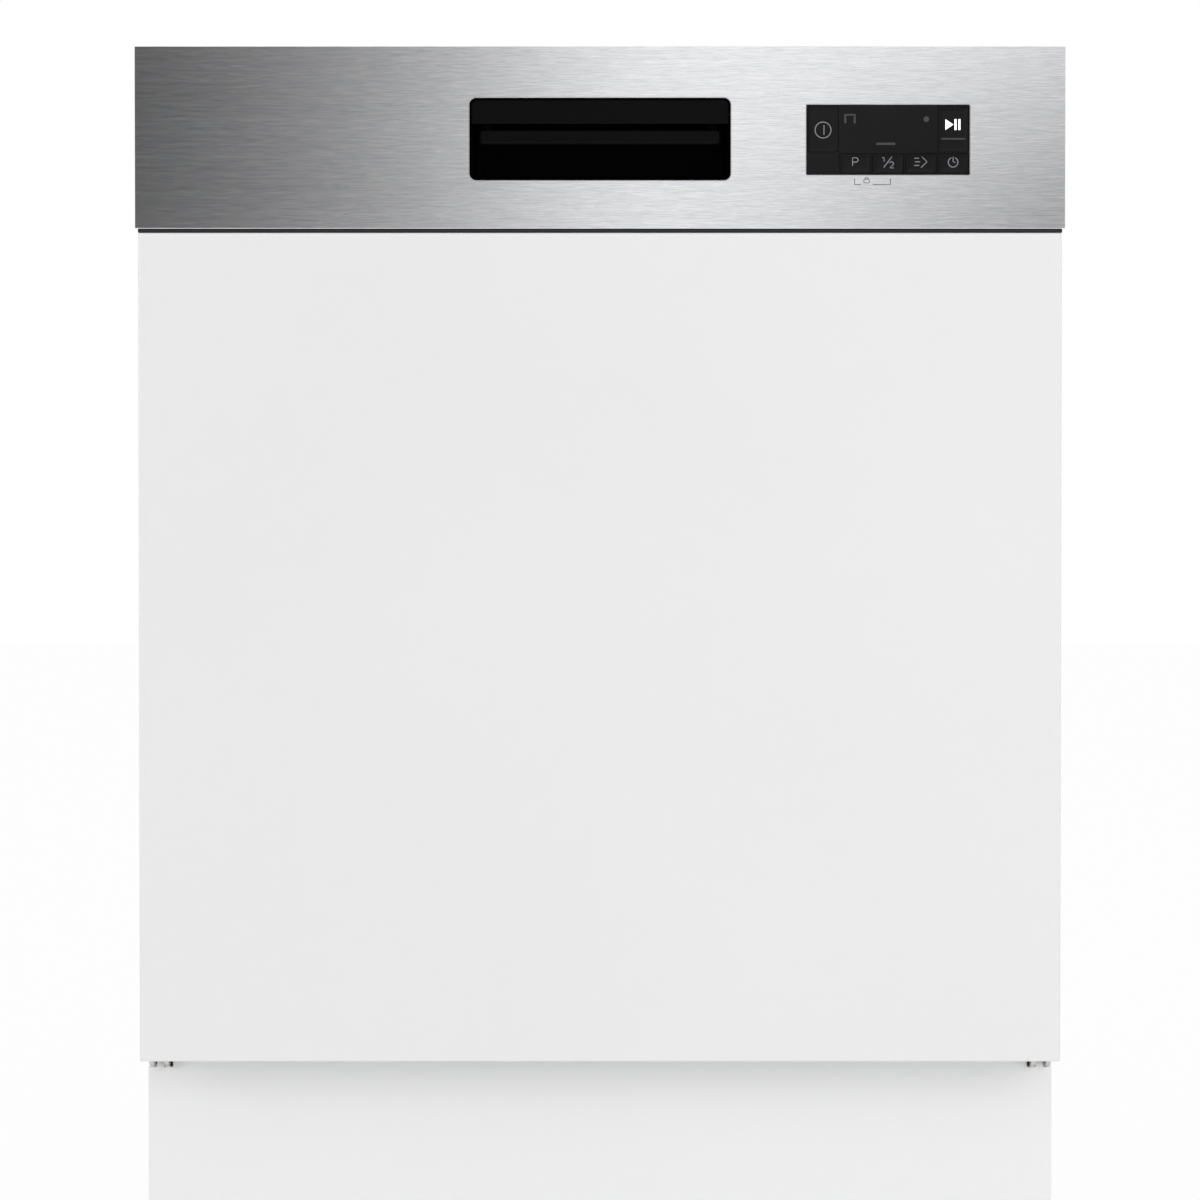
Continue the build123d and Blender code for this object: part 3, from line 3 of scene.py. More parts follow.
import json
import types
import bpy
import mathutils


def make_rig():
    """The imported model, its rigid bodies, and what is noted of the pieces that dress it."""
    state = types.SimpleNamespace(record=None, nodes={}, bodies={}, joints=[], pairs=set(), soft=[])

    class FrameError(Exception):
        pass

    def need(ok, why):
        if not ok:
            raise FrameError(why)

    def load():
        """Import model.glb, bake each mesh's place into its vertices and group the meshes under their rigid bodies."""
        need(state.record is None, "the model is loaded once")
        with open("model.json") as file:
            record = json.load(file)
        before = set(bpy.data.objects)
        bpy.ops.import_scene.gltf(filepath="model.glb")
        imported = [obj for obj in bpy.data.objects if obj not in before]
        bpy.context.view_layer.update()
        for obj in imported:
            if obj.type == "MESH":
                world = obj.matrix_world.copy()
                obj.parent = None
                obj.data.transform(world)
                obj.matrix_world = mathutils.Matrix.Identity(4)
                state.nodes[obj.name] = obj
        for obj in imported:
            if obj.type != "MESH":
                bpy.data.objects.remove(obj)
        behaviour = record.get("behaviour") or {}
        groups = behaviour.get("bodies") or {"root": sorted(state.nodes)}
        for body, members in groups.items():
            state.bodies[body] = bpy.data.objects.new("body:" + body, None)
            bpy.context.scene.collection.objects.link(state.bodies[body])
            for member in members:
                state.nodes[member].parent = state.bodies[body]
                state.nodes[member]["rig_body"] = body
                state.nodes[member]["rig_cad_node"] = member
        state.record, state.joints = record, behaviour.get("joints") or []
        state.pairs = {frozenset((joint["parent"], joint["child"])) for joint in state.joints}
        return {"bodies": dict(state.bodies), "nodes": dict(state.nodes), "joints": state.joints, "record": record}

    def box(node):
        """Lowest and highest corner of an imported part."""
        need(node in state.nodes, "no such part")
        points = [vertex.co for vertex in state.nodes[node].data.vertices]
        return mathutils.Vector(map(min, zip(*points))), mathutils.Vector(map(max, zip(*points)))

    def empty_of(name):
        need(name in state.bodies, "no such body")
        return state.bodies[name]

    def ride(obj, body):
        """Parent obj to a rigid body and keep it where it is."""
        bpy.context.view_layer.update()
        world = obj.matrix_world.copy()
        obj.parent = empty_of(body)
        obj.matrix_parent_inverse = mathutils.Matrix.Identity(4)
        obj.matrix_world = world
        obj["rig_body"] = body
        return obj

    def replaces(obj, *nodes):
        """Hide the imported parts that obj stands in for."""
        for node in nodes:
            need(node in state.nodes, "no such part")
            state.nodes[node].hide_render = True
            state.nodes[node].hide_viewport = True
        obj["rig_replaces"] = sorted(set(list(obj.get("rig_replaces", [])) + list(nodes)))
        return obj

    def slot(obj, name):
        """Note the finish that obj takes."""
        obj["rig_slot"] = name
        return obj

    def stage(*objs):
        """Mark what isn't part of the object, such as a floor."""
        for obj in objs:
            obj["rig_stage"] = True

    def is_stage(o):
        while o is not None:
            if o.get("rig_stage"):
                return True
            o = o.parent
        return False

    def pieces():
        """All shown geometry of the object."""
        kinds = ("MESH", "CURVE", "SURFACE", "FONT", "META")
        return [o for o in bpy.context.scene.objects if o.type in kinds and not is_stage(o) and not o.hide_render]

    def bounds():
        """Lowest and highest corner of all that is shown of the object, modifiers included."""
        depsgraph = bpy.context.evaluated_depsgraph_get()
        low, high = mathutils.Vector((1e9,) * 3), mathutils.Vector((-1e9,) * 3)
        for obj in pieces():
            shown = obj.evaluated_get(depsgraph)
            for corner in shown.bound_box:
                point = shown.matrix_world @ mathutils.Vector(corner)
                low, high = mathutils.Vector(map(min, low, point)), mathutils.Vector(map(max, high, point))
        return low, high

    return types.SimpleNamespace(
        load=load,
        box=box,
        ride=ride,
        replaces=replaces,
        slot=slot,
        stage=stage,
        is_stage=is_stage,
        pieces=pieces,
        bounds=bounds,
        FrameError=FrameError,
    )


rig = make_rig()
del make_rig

bl_info = {
    "name": "Built-in dishwasher",
    "version": (1, 0, 0),
    "blender": (4, 5, 0),
    "location": "View3D > Sidebar > Dishwasher",
    "description": "Skins, racks and fittings of a built-in dishwasher",
    "category": "Object",
}

import json
import math
import sys

import bmesh
import bpy
from bpy.props import FloatProperty, FloatVectorProperty, IntProperty, PointerProperty
from mathutils import Matrix, Vector

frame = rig.load()
CAD_BOX = [list(corner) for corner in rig.bounds()]    # read while the CAD pieces stand alone
MM = 0.001
BODY_OF = {node: body for body, nodes in frame["record"]["behaviour"]["bodies"].items() for node in nodes}
SLOT_OF = {part["node"]: part["material_slot"] for part in frame["record"]["subparts"]}


def spans(node):
    """The ends of a CAD node along X, Y and Z, in millimetres."""
    low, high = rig.box(node)
    return [(a / MM, b / MM) for a, b in zip(low, high)]


# ---- settings ----
def length(name, text, value, **limits):
    """A size in metres, given here in millimetres."""
    return FloatProperty(name=name, description=text, default=value * MM, subtype="DISTANCE", unit="LENGTH",
                         precision=5, **limits)


def colour(name, text, value):
    return FloatVectorProperty(name=name, description=text, default=value, size=3, min=0, max=1,
                               subtype="COLOR")


def share(name, text, value):
    return FloatProperty(name=name, description=text, default=value, min=0, max=1, subtype="FACTOR")


class StudioSettings(bpy.types.PropertyGroup):
    floor_colour: colour("Floor", "Colour of the floor and backdrop", (0.96, 0.96, 0.96))
    floor_glow: share("Floor glow", "How far the floor is lifted to white for the camera", 0.955)
    daylight: share("Daylight", "Even light from all round", 0.72)
    side_lamp: FloatProperty(name="Side lamp", description="Power of the soft lamp on the left", default=22,
                             min=0, unit="POWER")
    fill_lamp: FloatProperty(name="Fill lamp", description="Power of the soft lamp on the right", default=29,
                            min=0, unit="POWER")


class FrontSettings(bpy.types.PropertyGroup):
    steel: colour("Steel", "Colour of the brushed fascia", (0.925, 0.938, 0.985))
    brushing: length("Brushing", "Depth of the brush lines", 0.02)
    fascia_edge: length("Fascia edge", "Radius of the fascia's folded edges", 0.45)
    fascia_sheet: length("Fascia sheet", "Thickness of the fascia's sheet", 0.6)
    lacquer: colour("Lacquer", "Colour of the decor panel", (0.828, 0.828, 0.828))
    lacquer_edge: length("Panel edge", "Rounding of the decor panel's edges", 1.3)
    plinth: colour("Plinth", "Colour of the plinth board", (0.89, 0.89, 0.89))


class ControlSettings(bpy.types.PropertyGroup):
    gloss: colour("Gloss", "Colour of the display and keys", (0.008, 0.008, 0.0083))
    apron: colour("Apron", "Colour of the apron and the release lever", (0.0032, 0.0032, 0.0034))
    pocket: colour("Pocket", "Colour of the handle pocket", (0.0012, 0.0012, 0.0013))
    pocket_corner: length("Pocket corner", "Corner radius of the handle pocket", 4.5)
    pocket_draft: length("Pocket draft", "How much the pocket narrows towards its back", 2.5)
    legend: colour("Legend", "Colour of the printed key signs", (0.20, 0.20, 0.215))
    lit_legend: colour("Lit legend", "Colour of the start sign", (0.95, 0.95, 0.95))
    legend_line: length("Legend line", "Line width of the key signs", 0.55)


class RackSettings(bpy.types.PropertyGroup):
    wire: length("Wire", "Radius of the thick rack wires", 2.0)
    thin_wire: length("Thin wire", "Radius of the grid's wires", 1.3)
    corner: length("Corner", "Radius at which the wires bend up", 9)
    coat: colour("Coat", "Colour of the wires' coat", (0.60, 0.62, 0.645))
    wire_sides: IntProperty(name="Wire sides", description="Faces round a wire", default=8, min=5, max=24)


class CasingSettings(bpy.types.PropertyGroup):
    zinc: colour("Zinc", "Colour of the galvanised sheet", (0.50, 0.52, 0.535))
    spangle: FloatProperty(name="Spangle", description="Zinc crystals along a metre", default=70, min=10)
    thread_pitch: length("Thread pitch", "Pitch of the threads on the feet", 2.0)
    rib_pitch: length("Rib pitch", "Distance between the ribs of the base tray", 34)


SETTINGS = {
    "dishwasher_studio": StudioSettings,
    "dishwasher_front": FrontSettings,
    "dishwasher_controls": ControlSettings,
    "dishwasher_racks": RackSettings,
    "dishwasher_casing": CasingSettings,
}


def settings(name):
    return getattr(bpy.context.scene, "dishwasher_" + name)


# ---- finishes ----
class Finish:
    """A material built round one Principled shader, with its patterns on Object coordinates."""

    def __init__(self, name, colour, roughness, metallic=0.0, **sockets):
        self.material = bpy.data.materials.new(name)
        self.material.use_nodes = True
        self.tree = self.material.node_tree
        self.shader = self.tree.nodes["Principled BSDF"]
        self.colour = tuple(colour)
        self.material.diffuse_color = (*self.colour, 1)
        self.shader.inputs["Base Color"].default_value = (*self.colour, 1)
        self.shader.inputs["Roughness"].default_value = roughness
        self.shader.inputs["Metallic"].default_value = metallic
        for socket, value in sockets.items():
            self.shader.inputs[socket.replace("_", " ")].default_value = value
        self.place = self.node("ShaderNodeTexCoord").outputs["Object"]
        self.normal = None

    def node(self, kind, **values):
        node = self.tree.nodes.new(kind)
        for name, value in values.items():
            setattr(node, name, value)
        return node

    def link(self, source, target):
        self.tree.links.new(source, target)

    def stretched(self, stretch):
        mapping = self.node("ShaderNodeMapping")
        mapping.inputs["Scale"].default_value = stretch
        self.link(self.place, mapping.inputs["Vector"])
        return mapping.outputs["Vector"]

    def noise(self, scale, stretch=(1, 1, 1), detail=3.0, roughness=0.55):
        noise = self.node("ShaderNodeTexNoise")
        noise.inputs["Scale"].default_value = scale
        noise.inputs["Detail"].default_value = detail
        noise.inputs["Roughness"].default_value = roughness
        self.link(self.stretched(stretch), noise.inputs["Vector"])
        return noise.outputs["Fac"]

    def cells(self, scale, output="Color", feature="F1", stretch=(1, 1, 1)):
        cells = self.node("ShaderNodeTexVoronoi", feature=feature)
        cells.inputs["Scale"].default_value = scale
        self.link(self.stretched(stretch), cells.inputs["Vector"])
        return cells.outputs[output]

    def limits(self, source, low, high, start=0.3, end=0.7):
        """Maps the middle of a pattern to the range low to high."""
        limits = self.node("ShaderNodeMapRange")
        for name, value in zip(("From Min", "From Max", "To Min", "To Max"), (start, end, low, high)):
            limits.inputs[name].default_value = value
        self.link(source, limits.inputs["Value"])
        return limits.outputs["Result"]

    def tint(self, source, darkest, lightest, start=0.3, end=0.7):
        """Lets a pattern lighten and darken the colour by these factors."""
        mix = self.node("ShaderNodeMix", data_type="RGBA")
        for socket, factor in (("A", darkest), ("B", lightest)):
            shade = [min(1, value * factor) for value in self.colour]
            [s for s in mix.inputs if s.name == socket and s.type == "RGBA"][0].default_value = (*shade, 1)
        self.link(self.limits(source, 0, 1, start, end), mix.inputs["Factor"])
        out = [s for s in mix.outputs if s.type == "RGBA"][0]
        self.link(out, self.shader.inputs["Base Color"])
        return self

    def rough(self, source, low, high, start=0.3, end=0.7):
        self.link(self.limits(source, low, high, start, end), self.shader.inputs["Roughness"])
        return self

    def rounded(self, radius):
        """Softens the sharp edges of a plain solid in the light."""
        bevel = self.node("ShaderNodeBevel", samples=4)
        bevel.inputs["Radius"].default_value = radius * MM
        self.normal = bevel.outputs["Normal"]
        self.link(self.normal, self.shader.inputs["Normal"])
        return self

    def glowing_for_camera(self, amount):
        """Lifts the surface towards white for the camera and for mirrors, and keeps part of its shadows."""
        rays = self.node("ShaderNodeLightPath").outputs
        seen = self.node("ShaderNodeMath", operation="MAXIMUM")
        self.link(rays["Is Camera Ray"], seen.inputs[0])
        self.link(rays["Is Glossy Ray"], seen.inputs[1])
        part = self.node("ShaderNodeMath", operation="MULTIPLY")
        part.inputs[1].default_value = amount
        self.link(seen.outputs[0], part.inputs[0])
        glow = self.node("ShaderNodeEmission")
        mix = self.node("ShaderNodeMixShader")
        for source, target in ((part.outputs[0], 0), (self.shader.outputs[0], 1), (glow.outputs[0], 2)):
            self.link(source, mix.inputs[target])
        output = [node for node in self.tree.nodes if node.type == "OUTPUT_MATERIAL"][0]
        self.link(mix.outputs[0], output.inputs["Surface"])

    def relief(self, source, depth, strength=1.0):
        """Adds a pattern's relief, its depth in millimetres."""
        bump = self.node("ShaderNodeBump")
        bump.inputs["Distance"].default_value = depth * MM
        bump.inputs["Strength"].default_value = strength
        self.link(source, bump.inputs["Height"])
        if self.normal is not None:
            self.link(self.normal, bump.inputs["Normal"])
        self.normal = bump.outputs["Normal"]
        self.link(self.normal, self.shader.inputs["Normal"])
        return self


def fascia_steel():
    front = settings("front")
    steel = Finish("fascia_steel", front.steel, 0.15, 1.0, Anisotropic=0.35, Anisotropic_Rotation=0.25)
    lines = steel.noise(1, stretch=(90, 900, 1900), detail=3, roughness=0.7)
    broad = steel.noise(1, stretch=(3, 60, 380), detail=3)
    steel.tint(lines, 0.8, 1.1).rough(broad, 0.135, 0.165)
    return steel.relief(lines, front.brushing / MM, 0.25).material


def lacquered(name, colour, roughness=0.32):
    board = Finish(name, colour, roughness, Coat_Weight=0.15, Coat_Roughness=0.2)
    board.tint(board.noise(2.2, detail=2), 0.985, 1.008)
    board.rough(board.noise(35), roughness - 0.04, roughness + 0.06)
    board.relief(board.noise(420, detail=2), 0.012, 0.5)
    return board.relief(board.noise(60, stretch=(1, 1, 0.25)), 0.02, 0.25).material


def decor_white():
    return lacquered("decor_white", settings("front").lacquer)


def plinth_white():
    return lacquered("plinth_white", settings("front").plinth, 0.42)


def galvanised():
    casing = settings("casing")
    zinc = Finish("galvanised", casing.zinc, 0.4, 0.85).rounded(0.6)
    crystals = zinc.cells(casing.spangle)
    zinc.tint(crystals, 0.88, 1.12, 0, 1).rough(zinc.cells(casing.spangle * 0.6), 0.34, 0.5, 0, 1)
    return zinc.relief(zinc.noise(260), 0.02, 0.4).material


def tub_steel():
    steel = Finish("tub_steel", (0.62, 0.625, 0.63), 0.3, 1.0).rounded(0.8)
    grain = steel.noise(1, stretch=(420, 420, 30), detail=4, roughness=0.65)
    steel.tint(grain, 0.94, 1.05).rough(steel.noise(6), 0.27, 0.33)
    return steel.relief(grain, 0.012, 0.35).material


def zinc_steel():
    zinc = Finish("zinc_steel", (0.60, 0.595, 0.56), 0.26, 1.0).rounded(0.4)
    zinc.tint(zinc.noise(40), 0.95, 1.04).rough(zinc.noise(120), 0.22, 0.32)
    return zinc.relief(zinc.noise(500), 0.01, 0.2).material


def moulded(name, colour, roughness=0.48, grain=0.03, edge=0.6, scale=900, **sockets):
    """A moulded plastic with a spark-eroded grain."""
    part = Finish(name, colour, roughness, **sockets).rounded(edge)
    fine = part.noise(scale, detail=2)
    part.tint(part.noise(26), 0.94, 1.05).rough(fine, roughness - 0.07, roughness + 0.08)
    return part.relief(fine, grain, 0.6).material


def black_plastic():
    return moulded("black_plastic", (0.016, 0.016, 0.017), 0.45, Specular_IOR_Level=0.3)


def pocket_black():
    return moulded("pocket_black", settings("controls").pocket, 0.5, edge=0.4, Specular_IOR_Level=0.02)


def apron_black():
    return moulded("apron_black", settings("controls").apron, 0.3, 0.015, Specular_IOR_Level=0.06)


def gloss_black():
    gloss = Finish("gloss_black", settings("controls").gloss, 0.12, Specular_IOR_Level=0.13)
    gloss.rough(gloss.noise(45), 0.09, 0.2)
    return gloss.relief(gloss.noise(14, detail=1), 0.05, 0.12).material


def grey_plastic():
    return moulded("grey_plastic", (0.27, 0.28, 0.30))


def pale_plastic():
    return moulded("pale_plastic", (0.70, 0.71, 0.72), 0.42)


def tray_plastic():
    return moulded("tray_plastic", (0.055, 0.056, 0.06), 0.55, 0.06, scale=420)


def blue_plastic():
    return moulded("blue_plastic", (0.06, 0.17, 0.38), 0.35)


def seal_rubber():
    rubber = Finish("seal_rubber", (0.055, 0.056, 0.06), 0.62)
    rubber.tint(rubber.noise(60), 0.85, 1.15).rough(rubber.noise(300), 0.55, 0.72)
    return rubber.relief(rubber.noise(700), 0.03, 0.5).material


def bitumen_felt():
    felt = Finish("bitumen_felt", (0.075, 0.075, 0.08), 0.92, Sheen_Weight=0.3, Sheen_Roughness=0.5)
    fibres = felt.noise(1, stretch=(260, 900, 500), detail=5, roughness=0.75)
    felt.tint(fibres, 0.55, 1.7).relief(fibres, 0.5, 0.8)
    return felt.relief(felt.noise(30), 0.9, 0.5).material


def rack_grey():
    coat = Finish("rack_grey", settings("racks").coat, 0.3, Coat_Weight=0.35, Coat_Roughness=0.12)
    coat.tint(coat.noise(50), 0.95, 1.04).rough(coat.noise(200), 0.24, 0.36)
    return coat.relief(coat.noise(330), 0.03, 0.4).material


def board_green():
    board = Finish("board_green", (0.025, 0.13, 0.06), 0.4).rounded(0.2)
    tracks = board.cells(380, "Distance", "DISTANCE_TO_EDGE", (1, 1, 2.4))
    board.tint(tracks, 1.9, 0.9, 0.02, 0.06)
    return board.relief(tracks, 0.03, 0.4).material


def printed(name, colour, glow=0.0):
    sign = Finish(name, colour, 0.5, Emission_Color=(*colour, 1), Emission_Strength=glow)
    sign.tint(sign.noise(900), 0.92, 1.06)
    return sign.material


# The key signs' print colour, with a painted glow: their emission makes the printed signs shine by themselves.
def legend_print():
    return printed("legend_print", settings("controls").legend, 0.3)


def legend_lit():
    return printed("legend_lit", settings("controls").lit_legend, 0.6)


def mark_print():
    return printed("mark_print", (0.045, 0.045, 0.05))


def dim_print():
    return printed("dim_print", (0.045, 0.045, 0.048))


built = {}


def finish(name):
    """The material of that name, built the first time it is asked for."""
    if name not in built:
        built[name] = globals()[name]()
    return built[name]


# ---- shapes ----
def moved_to(place):
    """The matrix that moves a shape to a place in millimetres."""
    return Matrix.Translation([value * MM for value in place])


def box(bm, x, y, z):
    """Adds a closed block between these ends, in millimetres."""
    size = [(b - a) * MM for a, b in (x, y, z)]
    middle = [(a + b) / 2 * MM for a, b in (x, y, z)]
    matrix = Matrix.Translation(middle) @ Matrix.Diagonal((*size, 1))
    bmesh.ops.create_cube(bm, size=1, matrix=matrix)


TURN = {"x": Matrix.Rotation(math.radians(90), 4, "Y"), "y": Matrix.Rotation(math.radians(-90), 4, "X"),
        "z": Matrix.Identity(4)}


def lathe(bm, profile, axis="z", place=(0, 0, 0), sides=32, open_ends=False):
    """Turns (radius, height) points round an axis through place; a radius of 0 closes an end."""
    matrix = moved_to(place) @ TURN[axis]
    rings = []
    for radius, height in profile:
        if radius < 1e-6:
            rings.append([bm.verts.new(matrix @ Vector((0, 0, height * MM)))])
            continue
        angles = [2 * math.pi * step / sides for step in range(sides)]
        rings.append([bm.verts.new(matrix @ Vector((radius * MM * math.cos(a), radius * MM * math.sin(a),
                                                    height * MM))) for a in angles])
    for low, high in zip(rings, rings[1:]):
        count = max(len(low), len(high))
        for step in range(count):
            after = (step + 1) % count
            corners = [low[step % len(low)], low[after % len(low)], high[after % len(high)],
                       high[step % len(high)]]
            corners = list(dict.fromkeys(corners))
            if len(corners) > 2:
                bm.faces.new(corners)
    if not open_ends:
        for end in (rings[0], rings[-1]):
            if len(end) > 2:
                bm.faces.new(end)


def rod(bm, axis, ends, place, radius, sides=24):
    lathe(bm, [(radius, ends[0]), (radius, ends[1])], axis, place, sides)


def rounded_outline(x, z, radius, steps=6):
    """Points round a rectangle, anticlockwise; the radius may be one for each corner, from top right."""
    radii = radius if isinstance(radius, tuple) else (radius,) * 4
    points = []
    for corner, (right, top) in enumerate(((1, 1), (0, 1), (0, 0), (1, 0))):
        radius = radii[corner]
        centre = (x[right] + radius * (1 - 2 * right), z[top] + radius * (1 - 2 * top))
        for step in range(steps + 1):
            angle = math.radians(90 * (corner + step / steps))
            points.append((centre[0] + radius * math.cos(angle), centre[1] + radius * math.sin(angle)))
    return points


def ring(bm, outline, y):
    """Vertices of an outline in X and Z, at this depth."""
    return [bm.verts.new((x * MM, y * MM, z * MM)) for x, z in outline]


def bridge(bm, rings):
    """Joins rings of equally many points, one to the next."""
    for low, high in zip(rings, rings[1:]):
        for step in range(len(low)):
            after = (step + 1) % len(low)
            bm.faces.new((low[step], low[after], high[after], high[step]))


def skin(bm, rings):
    """Joins rings and closes the first and the last."""
    bridge(bm, rings)
    bm.faces.new(rings[0])
    bm.faces.new(rings[-1])


def fill(bm, *rings):
    """Fills the flat space inside the first ring and outside the others."""
    edges = []
    for points in rings:
        for a, b in zip(points, points[1:] + points[:1]):
            edges.append(bm.edges.get((a, b)) or bm.edges.new((a, b)))
    bmesh.ops.triangle_fill(bm, use_beauty=True, use_dissolve=False, edges=edges)


def inset(x, z, gap):
    """Two spans, drawn in by this gap at each end."""
    return (x[0] + gap, x[1] - gap), (z[0] + gap, z[1] - gap)


def mid(ends):
    return sum(ends) / 2


def half_of(ends):
    return (ends[1] - ends[0]) / 2


def beside(sign, near, far):
    """The span between two distances from the middle, on the side of this sign."""
    return tuple(sorted((sign * near, sign * far)))


def quarter(radius, steps=4):
    """(inset, setback) pairs of a rounded edge, from the face back to the side."""
    for step in range(steps + 1):
        angle = math.radians(90 * step / steps)
        yield radius * (1 - math.sin(angle)), radius * (1 - math.cos(angle))


def rounded_plate(bm, x, y, z, edge, corner=0.0, steps=4):
    """A board with rounded edges all round, facing -Y."""
    def outline(gap):
        return rounded_outline(*inset(x, z, gap), max(corner, edge) - gap + 0.02, steps)

    rings = [ring(bm, outline(gap), y[0] + back) for gap, back in quarter(edge)]
    rings += [ring(bm, outline(gap), y[1] - back) for gap, back in list(quarter(edge))[::-1]]
    bridge(bm, rings)
    bm.faces.new(rings[0])
    bm.faces.new(rings[-1][::-1])


def new_object(name, data):
    made = bpy.data.objects.new(name, data)
    bpy.context.scene.collection.objects.link(made)
    return made


def plain_mesh(made):
    """The object's mesh with its modifiers applied; the object goes."""
    bpy.context.view_layer.update()
    graph = bpy.context.evaluated_depsgraph_get()
    mesh = bpy.data.meshes.new_from_object(made.evaluated_get(graph), depsgraph=graph)
    old = made.data
    bpy.data.objects.remove(made)
    if old.users == 0:
        (bpy.data.meshes if isinstance(old, bpy.types.Mesh) else bpy.data.curves).remove(old)
    return mesh


SHARP = math.radians(30)     # edges that turn further than this are bevelled


def to_mesh(bm, merge=0.001):
    """A mesh out of a bmesh, its doubles merged within this many millimetres and its faces turned out."""
    if merge:
        bmesh.ops.remove_doubles(bm, verts=bm.verts, dist=merge * MM)
    bmesh.ops.recalc_face_normals(bm, faces=bm.faces)
    mesh = bpy.data.meshes.new("shape")
    bm.to_mesh(mesh)
    bm.free()
    return mesh


def soften(bm, width, segments=2):
    """Bevels the sharp edges."""
    bmesh.ops.remove_doubles(bm, verts=bm.verts, dist=1e-6)
    bmesh.ops.recalc_face_normals(bm, faces=bm.faces)
    sharp = [e for e in bm.edges if len(e.link_faces) == 2 and e.calc_face_angle(0) > SHARP]
    bmesh.ops.bevel(bm, geom=sharp, offset=width * MM, segments=segments, profile=0.5, affect="EDGES",
                    clamp_overlap=True)


def soft_box(bm, x, y, z, width):
    """Adds a block with softened edges, kept apart from what it touches."""
    one = bmesh.new()
    box(one, x, y, z)
    soften(one, width, segments=1)
    mesh = to_mesh(one)
    bm.from_mesh(mesh)
    bpy.data.meshes.remove(mesh)


def piece(name, mesh, node=None, body=None, slot=None, material=None, smooth=35):
    """Puts a finished mesh into the scene, standing for a CAD node or riding on a body by itself."""
    made = new_object(name, mesh)
    slot = slot or SLOT_OF[node]
    if not mesh.materials:
        mesh.materials.append(None)
    for index in range(len(mesh.materials)):
        if mesh.materials[index] is None:
            mesh.materials[index] = finish(material or slot)
    mesh.shade_smooth()
    mesh.set_sharp_from_angle(angle=math.radians(smooth))
    weighted = made.modifiers.new("even shading", "WEIGHTED_NORMAL")
    weighted.keep_sharp = True
    weighted.weight = 95
    mesh = plain_mesh(made)
    made = new_object(name, mesh)
    mesh.name = name
    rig.ride(made, body or BODY_OF[node])
    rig.slot(made, slot)
    if node:
        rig.replaces(made, node)


def joined(*meshes):
    """One mesh out of several, with their materials kept."""
    made = [new_object("part", mesh) for mesh in meshes]
    target = made[0]
    with bpy.context.temp_override(active_object=target, selected_editable_objects=made):
        bpy.ops.object.join()
    mesh = target.data
    bpy.data.objects.remove(target)
    return mesh


# ---- Geometry Nodes ----
class Tree:
    """A Geometry Nodes tree with named inputs, that ends in Realize Instances and Set Material."""

    def __init__(self, name, **inputs):
        self.group = bpy.data.node_groups.new(name, "GeometryNodeTree")
        interface = self.group.interface
        interface.new_socket("Geometry", in_out="OUTPUT", socket_type="NodeSocketGeometry")
        interface.new_socket("Points", in_out="INPUT", socket_type="NodeSocketGeometry")
        for label, kind in dict(inputs, Material="Material").items():
            interface.new_socket(label, in_out="INPUT", socket_type="NodeSocket" + kind)
        self.inputs = self.group.nodes.new("NodeGroupInput").outputs

    def node(self, kind, links=None, **values):
        """A node with its settings; links name its inputs, given a socket or a plain value."""
        node = self.group.nodes.new(kind)
        for name, value in values.items():
            setattr(node, name, value)
        for name, source in (links or {}).items():
            if isinstance(source, bpy.types.NodeSocket):
                self.group.links.new(source, node.inputs[name])
            else:
                node.inputs[name].default_value = source
        return node.outputs

    def math(self, operation, first, second=0.0):
        return self.node("ShaderNodeMath", {0: first, 1: second}, operation=operation)[0]

    def attribute(self, name):
        """A vector that each point of the source carries."""
        return self.node("GeometryNodeInputNamedAttribute", {"Name": name},
                         data_type="FLOAT_VECTOR")["Attribute"]

    def shape(self):
        """The object that the input Shape names, to be set on points."""
        return self.node("GeometryNodeObjectInfo", {"Object": self.inputs["Shape"], "As Instance": True},
                         transform_space="ORIGINAL")["Geometry"]

    def close(self, geometry):
        """Ends the tree with this geometry in the finish that the input Material names."""
        real = self.node("GeometryNodeRealizeInstances", {"Geometry": geometry})[0]
        painted = self.node("GeometryNodeSetMaterial", {"Geometry": real,
                                                        "Material": self.inputs["Material"]})[0]
        output = self.group.nodes.new("NodeGroupOutput")
        self.group.links.new(painted, output.inputs["Geometry"])
        return self.group


BEND_STEPS = 4       # points round each bend of a wire


def wire_tree():
    """Round wires along the edges of a mesh, bent with a radius at their corners."""
    tree = Tree("wires", Radius="Float", Corner="Float", Sides="Int")
    line = tree.node("GeometryNodeMeshToCurve", {"Mesh": tree.inputs["Points"]})[0]
    bend = tree.node("GeometryNodeFilletCurve", {"Curve": line, "Count": BEND_STEPS, "Limit Radius": True,
                                                 "Radius": tree.inputs["Corner"]}, mode="POLY")[0]
    ring = tree.node("GeometryNodeCurvePrimitiveCircle", {"Resolution": tree.inputs["Sides"],
                                                          "Radius": tree.inputs["Radius"]})[0]
    wires = tree.node("GeometryNodeCurveToMesh", {"Curve": bend, "Profile Curve": ring, "Fill Caps": True})[0]
    return tree.close(wires)


def copies_tree():
    """A shape set on every point, turned by the point's own turn and scale."""
    tree = Tree("copies", Shape="Object")
    shape, turn, size = tree.shape(), tree.attribute("turn"), tree.attribute("size")
    copies = tree.node("GeometryNodeInstanceOnPoints", {"Points": tree.inputs["Points"], "Instance": shape,
                                                        "Rotation": turn, "Scale": size})[0]
    return tree.close(copies)


